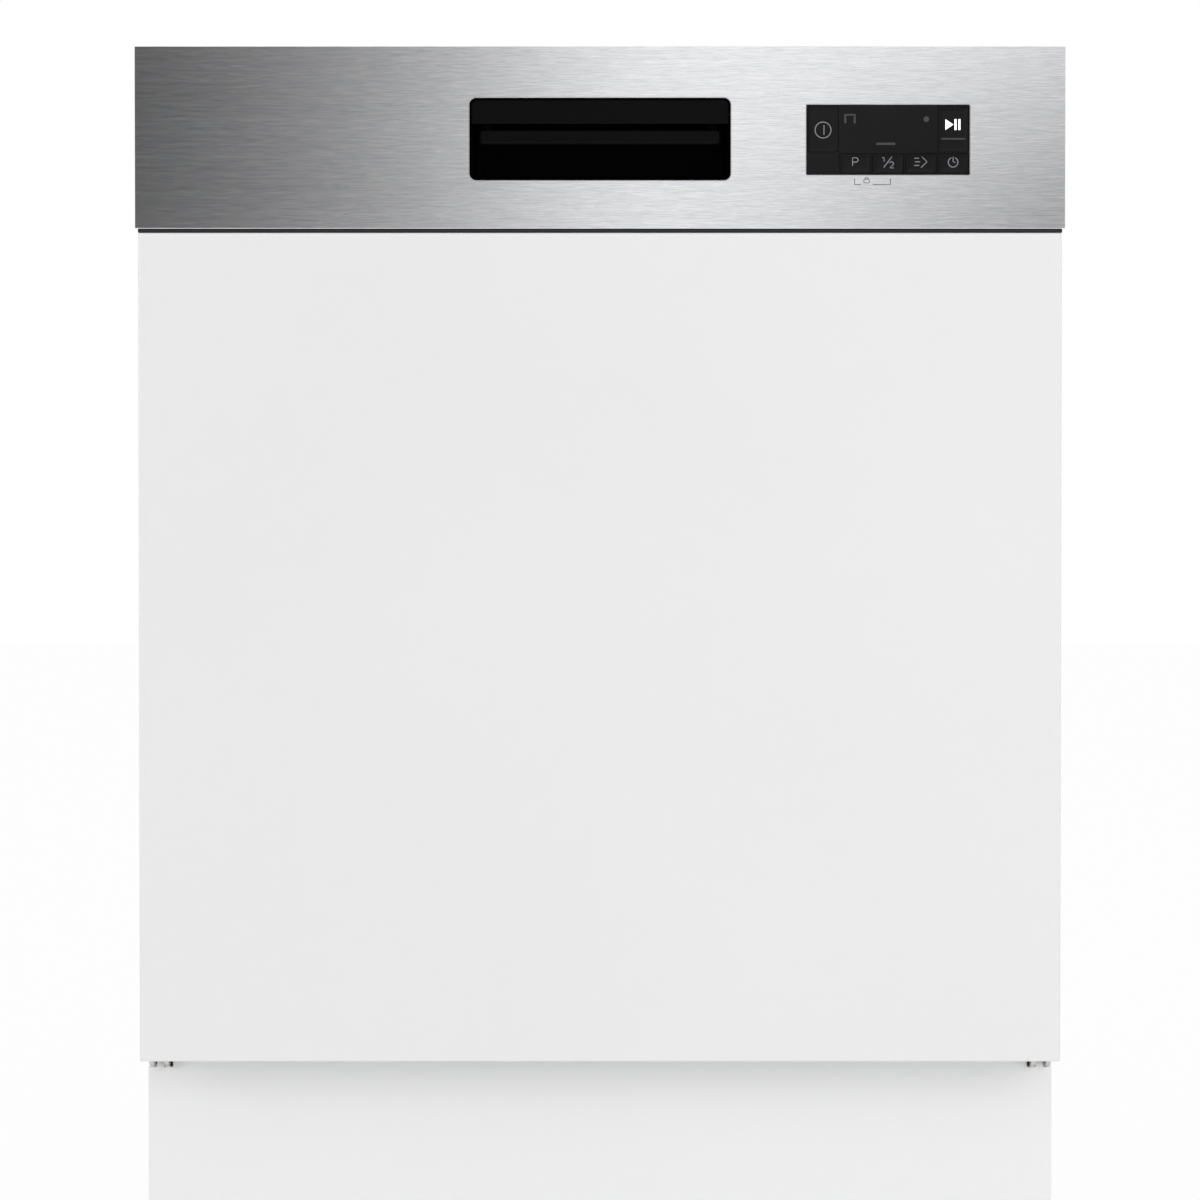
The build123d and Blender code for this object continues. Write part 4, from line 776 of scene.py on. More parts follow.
def spiral_tree():
    """A wire wound round Z, as a spring or a thread."""
    tree = Tree("spiral", Turns="Float", Radius="Float", Height="Float", Wire="Float", Steps="Int",
                Sides="Int")
    line = tree.node("GeometryNodeCurveSpiral", {
        "Resolution": tree.inputs["Steps"], "Rotations": tree.inputs["Turns"],
        "Start Radius": tree.inputs["Radius"], "End Radius": tree.inputs["Radius"],
        "Height": tree.inputs["Height"]})[0]
    ring = tree.node("GeometryNodeCurvePrimitiveCircle", {"Resolution": tree.inputs["Sides"],
                                                          "Radius": tree.inputs["Wire"]})[0]
    return tree.close(tree.node("GeometryNodeCurveToMesh", {"Curve": line, "Profile Curve": ring,
                                                            "Fill Caps": True})[0])


def sieve_tree():
    """A disc of pierced hexagons in a honeycomb, with a hole in its middle."""
    tree = Tree("sieve", Pitch="Float", Radius="Float", Inner="Float", Rows="Int", Shape="Object")
    pitch, rows = tree.inputs["Pitch"], tree.inputs["Rows"]
    step = tree.math("MULTIPLY", pitch, math.sqrt(3) / 2)
    gaps = tree.math("SUBTRACT", rows, 1.0)
    grid = tree.node("GeometryNodeMeshGrid", {
        "Size X": tree.math("MULTIPLY", pitch, gaps), "Size Y": tree.math("MULTIPLY", step, gaps),
        "Vertices X": rows, "Vertices Y": rows})["Mesh"]
    place = tree.node("GeometryNodeInputPosition")[0]
    split = tree.node("ShaderNodeSeparateXYZ", {0: place})
    row = tree.math("ROUND", tree.math("DIVIDE", split["Y"], step))
    odd = tree.math("FLOORED_MODULO", row, 2.0)
    aside = tree.math("MULTIPLY", odd, tree.math("MULTIPLY", pitch, 0.5))
    shift = tree.node("ShaderNodeCombineXYZ", {"X": aside})[0]
    moved = tree.node("GeometryNodeSetPosition", {"Geometry": grid, "Offset": shift})[0]
    reach = tree.node("ShaderNodeVectorMath", {0: place}, operation="LENGTH")["Value"]
    outside = tree.math("GREATER_THAN", reach, tree.inputs["Radius"])
    inside = tree.math("LESS_THAN", reach, tree.inputs["Inner"])
    away = tree.math("MAXIMUM", outside, inside)
    kept = tree.node("GeometryNodeDeleteGeometry", {"Geometry": moved, "Selection": away}, domain="POINT")[0]
    shape = tree.shape()
    cells = tree.node("GeometryNodeInstanceOnPoints", {"Points": kept, "Instance": shape})[0]
    return tree.close(cells)


TREES = {"wires": wire_tree, "copies": copies_tree, "spiral": spiral_tree, "sieve": sieve_tree}


def grow(tree, source=None, material=None, **values):
    """Runs a tree on a mesh with these inputs, and gives back a plain mesh."""
    group = bpy.data.node_groups.get(tree) or TREES[tree]()
    made = new_object("source", source or bpy.data.meshes.new("source"))
    modifier = made.modifiers.new(tree, "NODES")
    modifier.node_group = group
    sockets = {s.name: s.identifier for s in group.interface.items_tree if s.item_type == "SOCKET"
               and s.in_out == "INPUT"}
    if material:
        values["Material"] = finish(material)
    for label, value in values.items():
        modifier[sockets[label]] = value
    return plain_mesh(made)


def lines(paths):
    """A mesh of lines through these points, in millimetres; a path that ends where it starts is a ring."""
    points, edges = [], []
    for path in paths:
        first, count = len(points), len(path) - 1
        if path[0] == path[-1]:
            path = path[:-1]
        points += [[value * MM for value in point] for point in path]
        edges += [(first + step, first + (step + 1) % len(path)) for step in range(count)]
    mesh = bpy.data.meshes.new("lines")
    mesh.from_pydata(points, edges, [])
    return mesh


def wires(paths, material, radius=None, corner=0.0, sides=None):
    """Round wires along these paths, as thick as the racks' wires if nothing else is said."""
    racks = settings("racks")
    return grow("wires", lines(paths), material, Radius=radius * MM if radius else racks.wire,
                Corner=corner * MM, Sides=sides or racks.wire_sides)


def copies(shape, places, material, turns=None, sizes=None):
    """Copies of a mesh at these places in millimetres, with turns in degrees."""
    points = bpy.data.meshes.new("places")
    points.from_pydata([[value * MM for value in place] for place in places], [], [])
    for name, rows, unit in (("turn", turns or [(0, 0, 0)] * len(places), math.radians(1)),
                             ("size", sizes or [(1, 1, 1)] * len(places), 1)):
        attribute = points.attributes.new(name, "FLOAT_VECTOR", "POINT")
        attribute.data.foreach_set("vector", [value * unit for row in rows for value in row])
    pattern = new_object("pattern", shape)
    mesh = grow("copies", points, material, Shape=pattern)
    bpy.data.objects.remove(pattern)
    return mesh


def fan(shape, axis, place, count, material):
    """Copies of a mesh, turned evenly about an axis through this place."""
    turns = [[360 / count * step * (name == axis) for name in "xyz"] for step in range(count)]
    return copies(shape, [place] * count, material, turns)


def even(low, high, pitch):
    """Evenly spaced places from low to high, about a pitch apart."""
    count = max(1, round((high - low) / pitch))
    return [low + (high - low) * step / count for step in range(count + 1)]


# ---- the front ----
FLANGE = 3           # hidden flanges round the pocket and the display bezel
FACE = spans("control_fascia")[1][0]
PRINT = 0.05         # thickness of printed signs
SKIN = FACE + PRINT  # front of the fascia, the pocket and the bezel, just behind the signs


def mouth(node):
    """Opening of the fascia for the pocket or the display."""
    x, _, z = spans(node)
    return inset(x, z, FLANGE)


def fascia_mesh():
    """A folded sheet with rolled-in openings for the pocket and the display."""
    front = settings("front")
    x, y, z = spans("control_fascia")
    edge, sheet = front.fascia_edge / MM, front.fascia_sheet / MM
    lip, display_corner = 0.35, 0.9
    bm = bmesh.new()

    def outer_ring(gap, place):
        return ring(bm, rounded_outline(*inset(x, z, gap), edge - gap + 0.3, 4), place)

    outer = [outer_ring(gap, SKIN + back) for gap, back in quarter(edge, 5)]
    outer += [outer_ring(0, y[1]), outer_ring(sheet, y[1]), outer_ring(sheet, SKIN + edge),
              outer_ring(edge, SKIN + sheet)]
    bridge(bm, outer)
    holes = []
    for node, corner in (("handle_pocket", settings("controls").pocket_corner / MM),
                         ("display_bezel", display_corner)):
        wide, high = mouth(node)
        hole = []
        for gap, back in list(quarter(lip, 3))[::-1]:
            outline = rounded_outline(*inset(wide, high, gap - lip), corner + lip - gap, 6)
            hole.append(ring(bm, outline, SKIN + lip - back))
        hole.append(ring(bm, rounded_outline(wide, high, corner, 6), SKIN + sheet))
        bridge(bm, hole)
        holes.append((hole[0], hole[-1]))
    fill(bm, outer[0], *[first for first, last in holes])
    fill(bm, outer[-1], *[last for first, last in holes])
    return to_mesh(bm)


def pocket_mesh():
    """A tub with a rolled lip in front and a rounded root where its walls meet its back."""
    controls = settings("controls")
    draft, corner = controls.pocket_draft / MM, controls.pocket_corner / MM
    back = spans("handle_pocket")[1][1]
    wide, high = mouth("handle_pocket")
    gap, lip, wall, root = 0.12, 0.7, 2.0, 4.0
    lip_steps, root_steps = 8, 5
    bm = bmesh.new()

    def at(gap, place):
        return ring(bm, rounded_outline(*inset(wide, high, gap), max(corner - gap / 2, 1), 6), place)

    rings = [at(gap, back), at(gap, SKIN + lip)]
    for step in range(1, lip_steps + 1):
        angle = math.pi * step / lip_steps
        rings.append(at(gap + lip / 2 * (1 - math.cos(angle)), SKIN + lip * (1 - math.sin(angle)) * 0.9))
    rings.append(at(gap + lip + draft, back - wall - root))
    for step in range(1, root_steps + 1):
        angle = math.radians(90 * step / root_steps)
        rings.append(at(gap + lip + draft + root * (1 - math.cos(angle)),
                        back - wall - root * (1 - math.sin(angle))))
    skin(bm, rings)
    return to_mesh(bm)


def apron_mesh():
    """Glossy plate over the lever's pivot."""
    wide, high = mouth("handle_pocket")
    height, setback, thickness, edge, top_corner, low_corner = 16.5, 2, 2, 0.7, 3.8, 0.9
    x, z = inset(wide, high, 0.95)
    z = (high[1] - height, z[1])
    bm = bmesh.new()

    def at(gap, place):
        corners = (top_corner - gap,) * 2 + (low_corner - gap,) * 2
        return ring(bm, rounded_outline(*inset(x, z, gap), corners, 6), place)

    face = FACE + setback
    rings = [at(gap, face + back) for gap, back in quarter(edge)]
    rings.append(at(0, min(face + thickness, spans("release_lever")[1][0])))
    skin(bm, rings)
    return to_mesh(bm)


def lever_mesh():
    """Pull bar with two arms that turn on a pin behind the apron."""
    x, y, z = spans("release_lever")
    joint = [j for j in frame["joints"] if j["name"] == "release_lever_pull"][0]["pos_m"]
    pin_y, pin_z = joint[1] / MM, joint[2] / MM
    thickness, height, pin_end, pin_radius = 8, 10, 6, 2
    arm_low, arm_high, eye = z[0] + 3, z[0] + 8, 3.5
    half = x[1] - pin_end
    bm = bmesh.new()
    rounded_plate(bm, (-half, half), (y[0], y[0] + thickness), (z[0], z[0] + height), edge=2.2, corner=2.6,
                  steps=5)
    shape = to_mesh(bm)
    arms = bmesh.new()
    for side in (-1, 1):
        ends = beside(side, half - 2, half - 8)
        box(arms, ends, (y[0] + 5, pin_y + 3), (arm_low, arm_high))
        box(arms, ends, (pin_y - eye, pin_y + eye), (arm_low, z[1] - 0.3))
        for place in even(y[0] + 9, pin_y - 3, 5)[1:-1]:
            box(arms, (ends[0] + 1, ends[1] - 1), (place, place + 1), (arm_high, arm_high + 1.5))
    soften(arms, 0.4)
    rod(arms, "x", x, (0, pin_y, pin_z), pin_radius)
    return joined(shape, to_mesh(arms))


KEYS = ("power_key", "start_key", "program_key", "half_load_key", "fast_key", "delay_key")


def bezel_mesh():
    """A frame with an opening for each key, their edges slightly rounded."""
    wide, high = mouth("display_bezel")
    edge, depth, fit, key_fit = 0.3, 3, 0.1, 0.14
    bm = bmesh.new()

    def outer_ring(gap, place):
        return ring(bm, rounded_outline(*inset(wide, high, gap), max(0.8 - gap, 0.3), 4), place)

    outer = [outer_ring(fit + gap, SKIN + back) for gap, back in quarter(edge)]
    outer.append(outer_ring(fit, SKIN + depth))
    bridge(bm, outer)
    holes = []
    for key in KEYS:
        x, _, z = spans(key)
        hole = [ring(bm, rounded_outline(*inset(x, z, -key_fit - gap), 0.5 + gap, 3), SKIN + back)
                for gap, back in ((0.12, 0), (0.04, 0.04), (0, 0.12), (0, depth))]
        bridge(bm, hole)
        holes.append(hole)
    fill(bm, outer[0], *[hole[0] for hole in holes])
    fill(bm, outer[-1], *[hole[-1] for hole in holes])
    return to_mesh(bm)


def key_mesh(key):
    """A key whose face is slightly hollow, so that a finger finds it."""
    x, y, z = spans(key)
    edge, hollow = 0.45, ((1.6, 0.06), (3.2, 0.1))
    bm = bmesh.new()

    def at(gap, place):
        return ring(bm, rounded_outline(*inset(x, z, gap), max(0.7 - gap * 0.6, 0.3), 4), place)

    rings = [at(0, y[1]), at(0, y[0] + edge)]
    rings += [at(gap, y[0] + back) for gap, back in list(quarter(edge))[::-1][1:]]
    rings += [at(gap, y[0] + back) for gap, back in hollow]
    skin(bm, rings)
    return to_mesh(bm)


def arc(x, z, radius, start=0, end=360, steps=28):
    """Points along an arc, its angles in degrees from +X to +Z."""
    angles = [math.radians(start + (end - start) * step / steps) for step in range(steps + 1)]
    return [(x + radius * math.cos(a), z + radius * math.sin(a)) for a in angles]


def sign_mesh(strokes, face, material, line=None):
    """Printed strokes on a face: thin wires, pressed flat."""
    line = line or settings("controls").legend_line / MM
    paths = [[(x, face, z) for x, z in stroke] for stroke in strokes]
    mesh = wires(paths, material, radius=line / 2, sides=8)
    for vertex in mesh.vertices:
        vertex.co.y = face * MM + (vertex.co.y - face * MM) * PRINT / line * 1.6
    return mesh


def solid_sign(outlines, face, material):
    """Printed areas on a face."""
    bm = bmesh.new()
    for outline in outlines:
        skin(bm, [ring(bm, outline, face - PRINT * 0.7), ring(bm, outline, face + PRINT)])
    mesh = to_mesh(bm)
    mesh.materials.append(finish(material))
    return mesh


def loop(x, z):
    """A closed rectangle."""
    return [(x[0], z[0]), (x[1], z[0]), (x[1], z[1]), (x[0], z[1]), (x[0], z[0])]


def key_signs():
    """Strokes of each key's sign round its centre, in millimetres."""
    flag = [(-1.8, -2.6), (-1.8, 2.6), (0.4, 2.6)] + arc(0.4, 1.2, 1.4, 90, -90, 8) + [(-1.8, -0.2)]
    half = [[(-3.6, 2.2), (-2.5, 3.7), (-2.5, 0.2)], [(-2.8, -3.7), (2.8, 3.7)],
            arc(2.2, -1.3, 1.3, 160, -20, 8) + [(1.0, -3.9), (3.7, -3.9)]]
    fast = [[(-4.2, 2.3), (-1.1, 2.3)], [(-3.6, 0), (-0.5, 0)], [(-4.2, -2.3), (-1.1, -2.3)],
            [(0.2, 3.7), (4.0, 0), (0.2, -3.7)]]
    clock = [arc(0, -0.3, 3.1, 112, 428), [(0, 3.3), (0, 0.2), (1.4, -0.6)]]
    power = [arc(0, 0, 5.1), [(0.6, 3.1), (0.6, -3.1)]]
    return {"power_key": power, "program_key": [flag], "half_load_key": half, "fast_key": fast,
            "delay_key": clock}


class DISHWASHER_OT_fascia(bpy.types.Operator):
    """Brushed steel fascia with folded edges and its printed mark"""
    bl_idname = "dishwasher.fascia"
    bl_label = "Fascia"

    def execute(self, context):
        piece("fascia_skin", fascia_mesh(), "control_fascia")
        wide, high = mouth("display_bezel")
        left, right = wide[0] + 31, wide[0] + 54
        low, up = high[0] - 6.4, high[0] - 2.6
        shackle = arc(left + 7.7, low + 3.4, 1.1, 0, 180, 10)
        lock = [loop((left + 6, left + 9.4), (low + 1.2, low + 3.4)), shackle]
        strokes = [[(left, up), (left, low), (left + 4, low)], [(left + 12, low), (right, low), (right, up)]]
        piece("lock_mark", sign_mesh(strokes + lock, SKIN, "mark_print", 0.5), body="door",
              slot="gloss_black")
        return {"FINISHED"}


class DISHWASHER_OT_handle(bpy.types.Operator):
    """Recessed handle pocket, its apron and the release lever"""
    bl_idname = "dishwasher.handle"
    bl_label = "Handle pocket and lever"

    def execute(self, context):
        piece("pocket_shell", pocket_mesh(), "handle_pocket", material="pocket_black")
        piece("pocket_apron", apron_mesh(), body="door", slot="gloss_black", material="apron_black")
        piece("pull_lever", lever_mesh(), "release_lever", material="apron_black")
        return {"FINISHED"}


class DISHWASHER_OT_display(bpy.types.Operator):
    """Gloss display frame, its keys and their signs"""
    bl_idname = "dishwasher.display"
    bl_label = "Display and keys"

    def execute(self, context):
        piece("display_frame", bezel_mesh(), "display_bezel")
        face = spans("start_key")[1][0] + 0.1
        for key in KEYS:
            piece(key + "_cap", key_mesh(key), key)
        for key, strokes in key_signs().items():
            x, _, z = spans(key)
            centre = mid(x), mid(z) + (-0.6 if key == "power_key" else 1.1)
            moved = [[(centre[0] + a, centre[1] + b) for a, b in stroke] for stroke in strokes]
            piece(key + "_sign", sign_mesh(moved, face, "legend_print"), body=key, slot="gloss_black")
        x, _, z = spans("start_key")
        a, b, tall = mid(x) - 0.6, mid(z) + 2.9, 3.5
        play = [(a - 4.4, b - tall), (a - 4.4, b + tall), (a + 0.8, b)]
        bars = []
        for left in (a + 1.4, a + 3.9):
            right = left + 1.4
            bars.append([(left, b - tall), (left, b + tall), (right, b + tall), (right, b - tall)])
        piece("start_sign", solid_sign([play] + bars, face, "legend_lit"), body="start_key",
              slot="gloss_black")
        piece("start_line", sign_mesh([[(a - 8, b - 9.1), (a + 9.4, b - 9.1)]], face, "mark_print", 1.0),
              body="start_key", slot="gloss_black")
        wide, high = mouth("display_bezel")
        arch = [(wide[0] + 25, high[1] - 12), (wide[0] + 25, high[1] - 6.6), (wide[0] + 31, high[1] - 6.6),
                (wide[0] + 31, high[1] - 12)]
        dash = [(wide[0] + 45, high[1] - 25.2), (wide[0] + 57, high[1] - 25.2)]
        spot = wide[0] + 77, high[1] - 9.4
        dots = [arc(*spot, 1.1, steps=12), arc(*spot, 0.4, steps=8)]
        piece("display_marks", sign_mesh([arch, dash] + dots, SKIN, "dim_print", 1.5), body="door",
              slot="gloss_black")
        return {"FINISHED"}


def plinth_mesh():
    """A board with a slot for each hinge arm and bracket."""
    x, y, z = spans("plinth_panel")
    arm, bracket = spans("hinge_arms")[0][1], spans("hinge_brackets")[0][1]
    low = z[1] - 5.5                         # floor of the slots
    left, right = arm - 4.2, arm + 1.2       # sides of the arm's slot
    outer = bracket - 3.6                    # the bracket's slot runs from here to the plinth's end
    half = [(x[1], z[0]), (x[1], low), (outer, low), (outer, z[1]), (right, z[1]), (right, low),
            (left, low), (left, z[1])]
    outline = half + [(-across, height) for across, height in half[::-1]]
    bm = bmesh.new()
    skin(bm, [ring(bm, outline, y[0]), ring(bm, outline, y[1])])
    soften(bm, 0.7)
    return to_mesh(bm)


class DISHWASHER_OT_boards(bpy.types.Operator):
    """White decor panel and plinth board"""
    bl_idname = "dishwasher.boards"
    bl_label = "Decor panel and plinth"

    def execute(self, context):
        bm = bmesh.new()
        rounded_plate(bm, *spans("decor_door_panel"), edge=settings("front").lacquer_edge / MM, steps=5)
        piece("decor_board", to_mesh(bm), "decor_door_panel")
        # A black strip that fills the gap between the decor panel and the fascia: painted shade, standing in for the
        # dark shadow line of the gap.
        x, y, z = spans("decor_door_panel")
        gap = z[1] + 0.05, spans("control_fascia")[2][0] - 0.05
        bm = bmesh.new()
        soft_box(bm, x, (y[0] + 0.5, y[1]), gap, 0.3)
        piece("joint_strip", to_mesh(bm), body=BODY_OF["decor_door_panel"], slot="black_plastic")
        piece("plinth_board", plinth_mesh(), "plinth_panel")
        return {"FINISHED"}


# ---- the racks ----
GRID = 35            # pitch of the wires
GRID_DEPTH = 4       # two crossing layers of wires
PIN = 1.75           # radius of the plate pins
PIVOT = 2            # height of the folding pins' axle above the lower end of their node
SHELF_PIN = 2.5      # radius of the cup shelf's axle
WHEEL_GAP = 12       # from the racks' sides to the wheels
GRIP_RISE = 6        # of a grip over its rack's rim


def rack_side():
    """Half the width of both racks."""
    return spans("wheel_front_right")[0][0] - WHEEL_GAP


def gauges():
    """Radii of the grids' wires and of the rims, in millimetres."""
    racks = settings("racks")
    return racks.thin_wire / MM, racks.wire / MM


def loop_path(x, y, z):
    """A closed rectangle at one height."""
    return [(x[0], y[0], z), (x[0], y[1], z), (x[1], y[1], z), (x[1], y[0], z), (x[0], y[0], z)]


def basket_wires(x, y, z):
    """Wires bent up from the floor of a rack into its walls, rings round them and a thick rim."""
    corner = settings("racks").corner / MM
    thin, thick = gauges()
    low, high, top = z[0] + thin, z[0] + GRID_DEPTH - thin, z[1] - thick
    (left, right), (front, back) = inset(x, y, thin)
    ahead = [[(place, front, top), (place, front, low), (place, back, low), (place, back, top)]
             for place in even(x[0] + 2, x[1] - 2, GRID)[1:-1]]
    across = [[(left, place, top), (left, place, high), (right, place, high), (right, place, top)]
              for place in even(y[0] + 2, y[1] - 2, GRID)[1:-1]]
    rings = [loop_path(*inset(x, y, GRID_DEPTH - thin), height)
             for height in even(z[0] + 6, top, GRID)[1:-1] + [z[0] + 13]]
    rim = [loop_path(*inset(x, y, thick), top)]
    return [wires(ahead + across, "rack_grey", thin, corner), wires(rings, "rack_grey", thin, corner + 3),
            wires(rim, "rack_grey", thick, corner + 5)]


def pin_mesh(height):
    """A plate pin with a rounded tip."""
    bm = bmesh.new()
    lathe(bm, [(PIN, 0), (PIN, height - 2.2), (PIN * 0.8, height - 0.8), (PIN * 0.4, height - 0.1),
               (0, height)], sides=8)
    return to_mesh(bm)


def tines(rows, ends, foot, height):
    """Rows of plate pins, each row welded to a wire."""
    level = foot + PIN
    places = [(place, row, level) for row in rows for place in even(*ends, GRID)]
    base = [[(ends[0] - PIN, row, level), (ends[1] + PIN, row, level)] for row in rows]
    return [copies(pin_mesh(height), places, "rack_grey"), wires(base, "rack_grey", PIN)]


def grip_mesh(y, rim):
    """Moulded grip that hooks over a rack's front rim."""
    half, depth, drop = 70, 16, 22
    bm = bmesh.new()
    box(bm, (-half, half), (y + 4.1, y + depth), (rim - drop, rim + GRIP_RISE))
    box(bm, (-half, half), (y, y + 5.5), (rim + 0.1, rim + GRIP_RISE))
    soften(bm, 1.6, segments=3)
    for place in even(-half + 14, half - 14, 7):
        box(bm, (place - 1, place + 1), (y + depth - 0.7, y + depth), (rim - drop + 5, rim - 1))
    for place in (-half + 1.6, half - 1.6):
        rod(bm, "x", (place - 1.5, place + 1.5), (0, y + 3, rim + 1.8), 1.6, 12)
    return to_mesh(bm)


def collar(bm, axis, ends, place, bore, radius, sides=20):
    """A ring with softened edges, with a hole along its axis."""
    low, high = ends
    edge = min(0.4, (radius - bore) / 3, (high - low) / 3)
    lathe(bm, [(bore, low), (radius - edge, low), (radius, low + edge), (radius, high - edge),
               (radius - edge, high), (bore, high), (bore, low)], axis, place, sides, open_ends=True)


class DISHWASHER_OT_lower_rack(bpy.types.Operator):
    """Lower rack of bent wires, its pins, clips, axles and grip"""
    bl_idname = "dishwasher.lower_rack"
    bl_label = "Lower rack"

    def execute(self, context):
        front, rear = spans("wheel_front_right"), spans("wheel_rear_right")
        _, y, z = spans("lower_rack")
        side = rack_side()
        floor, rim = spans("cutlery_basket")[2][0] - GRID_DEPTH, z[1] - GRIP_RISE
        meshes = basket_wires((-side, side), y, (floor, rim))
        rows = even(y[0] + 2, y[1] - 2, GRID)
        fixed = rows[8], rows[10]        # both behind the folding pins
        meshes += tines(fixed, (30 - side, side - 30), floor + GRID_DEPTH, 82)
        piece("lower_rack_wires", joined(*meshes), "lower_rack", smooth=50)
        folding = spans("folding_tines")
        pivot = mid(folding[1]), folding[2][0] + PIVOT
        clips = [(place - 2, place + 2) for place in (folding[0][0] + 3, folding[0][1] - 3)]
        hubs = [(mid(y), mid(z)) for _, y, z in (front, rear)]
        inner, outer = front[0]
        bm = bmesh.new()
        for ends in clips:
            box(bm, ends, (pivot[0] - 6, pivot[0] + 6), (floor + GRID_DEPTH, pivot[1] - 2.2))
        for hub in hubs:
            for ends in ((side, side + 2), (-side - 2, -side)):
                box(bm, ends, (hub[0] - 15, hub[0] + 15), (hub[1] - 8, floor + 30))
        soften(bm, 0.6)
        for ends in clips:
            collar(bm, "x", ends, (0, *pivot), 2.1, 5.6)
        for hub in hubs:
            for sign in (-1, 1):
                rod(bm, "x", beside(sign, side, inner - 0.3), (0, *hub), 6)
                rod(bm, "x", beside(sign, side, outer + 3), (0, *hub), 3)
                collar(bm, "x", beside(sign, outer + 0.3, outer + 3), (0, *hub), 2.5, 5)
                for step in (-9, 9):
                    rivet = (0, hub[0] + step, floor + 22)
                    rod(bm, "x", beside(sign, side + 1.5, side + 2.6), rivet, 3, 12)
        piece("lower_rack_fittings", to_mesh(bm), body="lower_rack", slot="grey_plastic")
        piece("lower_rack_grip", grip_mesh(y[0], rim), body="lower_rack", slot="grey_plastic")
        return {"FINISHED"}


class DISHWASHER_OT_upper_rack(bpy.types.Operator):
    """Upper rack of bent wires with its rails, pins, water feed and grip"""
    bl_idname = "dishwasher.upper_rack"
    bl_label = "Upper rack"

    def execute(self, context):
        arm, shelf, rails = spans("upper_spray_arm"), spans("cup_shelf"), spans("rail_channels")
        side = rack_side()
        _, y, z = spans("upper_rack")
        floor, rim = arm[2][1] + 9.3, z[1] - GRIP_RISE
        meshes = basket_wires((-side, side), y, (floor, rim))
        rows = even(y[0] + 2, y[1] - 2, GRID)[1:-1:2]
        meshes += tines(rows, (20, side - 40), floor + GRID_DEPTH, 52)
        piece("upper_rack_wires", joined(*meshes), "upper_rack", smooth=50)
        # half height, depth, wall and lip of a channel, and its gap to the fixed one
        half, depth, wall, lip, gap = 13, 13, 1.5, 6, 4.3
        far = rails[0][1] - depth - gap
        near = far - depth
        middle, ends = mid(rails[2]), rails[1]
        right = [(near, -half), (far, -half), (far, -lip), (far - wall, -lip), (far - wall, wall - half),
                 (near + wall, wall - half), (near + wall, half - wall), (far - wall, half - wall),
                 (far - wall, lip), (far, lip), (far, half), (near, half)]
        bm = bmesh.new()
        for sign in (-1, 1):
            outline = [(sign * across, middle + height) for across, height in right]
            first, last = (ring(bm, outline, place) for place in ends)
            bridge(bm, [first, last])
            fill(bm, first)
            fill(bm, last)
        soften(bm, 0.3, segments=1)
        for sign in (-1, 1):
            for place in even(ends[0] + 40, ends[1] - 40, 110):
                plate = beside(sign, side - 1, near + 0.4)
                box(bm, plate, (place - 16, place + 16), (middle - 9, middle + 9))
        piece("upper_rack_rails", to_mesh(bm), body="upper_rack", slot="zinc_steel")
        hub, (low, top) = (mid(arm[0]), mid(arm[1])), arm[2]
        stub = 11.9          # runs through the arm's bore
        bm = bmesh.new()
        duct = rounded_outline((-15, 15), (floor - 9, floor), 3.5, 4)
        skin(bm, [ring(bm, duct, hub[1]), ring(bm, duct, y[1])])
        lathe(bm, [(0, floor - 0.3), (24, floor - 0.3), (27, floor - 2), (27, top + 2), (25, top + 0.3),
                   (0, top + 0.3)], "z", (*hub, 0))
        lathe(bm, [(0, floor - 4), (stub, floor - 4), (stub, low - 3), (0, low - 3)], "z", (*hub, 0), 24)
        lathe(bm, [(0, low - 0.3), (17.3, low - 0.3), (18, low - 1), (18, low - 5), (16.5, low - 6),
                   (0, low - 6)], "z", (*hub, 0), 24)
        pivot = shelf[0][0] + SHELF_PIN, mid(shelf[2])
        for place in (shelf[1][0] + 3, shelf[1][1] - 3):
            collar(bm, "y", (place - 3, place + 3), (pivot[0], 0, pivot[1]), 2.6, 6)
            box(bm, (2 - side, pivot[0] - 3.5), (place - 3, place + 3), (pivot[1] - 6, pivot[1] + 6))
        piece("upper_rack_feed", to_mesh(bm), body="upper_rack", slot="grey_plastic")
        piece("upper_rack_grip", grip_mesh(y[0], rim), body="upper_rack", slot="grey_plastic")
        return {"FINISHED"}


class DISHWASHER_OT_shelf_and_tines(bpy.types.Operator):
    """Folding cup shelf and the folding row of plate pins"""
    bl_idname = "dishwasher.shelf_and_tines"
    bl_label = "Cup shelf and folding pins"

    def execute(self, context):
        x, y, z = spans("cup_shelf")
        pivot, level = x[0] + SHELF_PIN, mid(z)
        near, far = y[0] + 9, y[1] - 9
        thin, thick = gauges()
        edge, first, last = x[1] - thick, near + thick, far - thick
        outer = [(pivot, first, level), (edge, first, level), (edge, last, level), (pivot, last, level)]
        bars = [[(pivot, place, level), (edge, place, level)]
                for place in even(near + 2, far - 2, GRID)[1:-1]]
        bars += [[(place, first, level), (place, last, level)]
                 for place in even(pivot + 2, x[1] - 2, GRID)[1:-1]]
        axle = [[(pivot, y[0], level), (pivot, y[1], level)]]
        meshes = [wires([outer], "rack_grey", thick, 10), wires(bars, "rack_grey", thin),
                  wires(axle, "rack_grey", SHELF_PIN, sides=16)]
        piece("cup_shelf_wires", joined(*meshes), "cup_shelf", smooth=50)
        x, y, z = spans("folding_tines")
        pivot = mid(y), z[0] + PIVOT
        places = [(place, *pivot) for place in even(x[0] + 9, x[1] - 9, GRID)]
        pins = copies(pin_mesh(z[1] - pivot[1]), places, "rack_grey")
        axle = wires([[(x[0], *pivot), (x[1], *pivot)]], "rack_grey", 2.0, sides=16)
        piece("folding_pins", joined(pins, axle), "folding_tines", smooth=50)
        return {"FINISHED"}


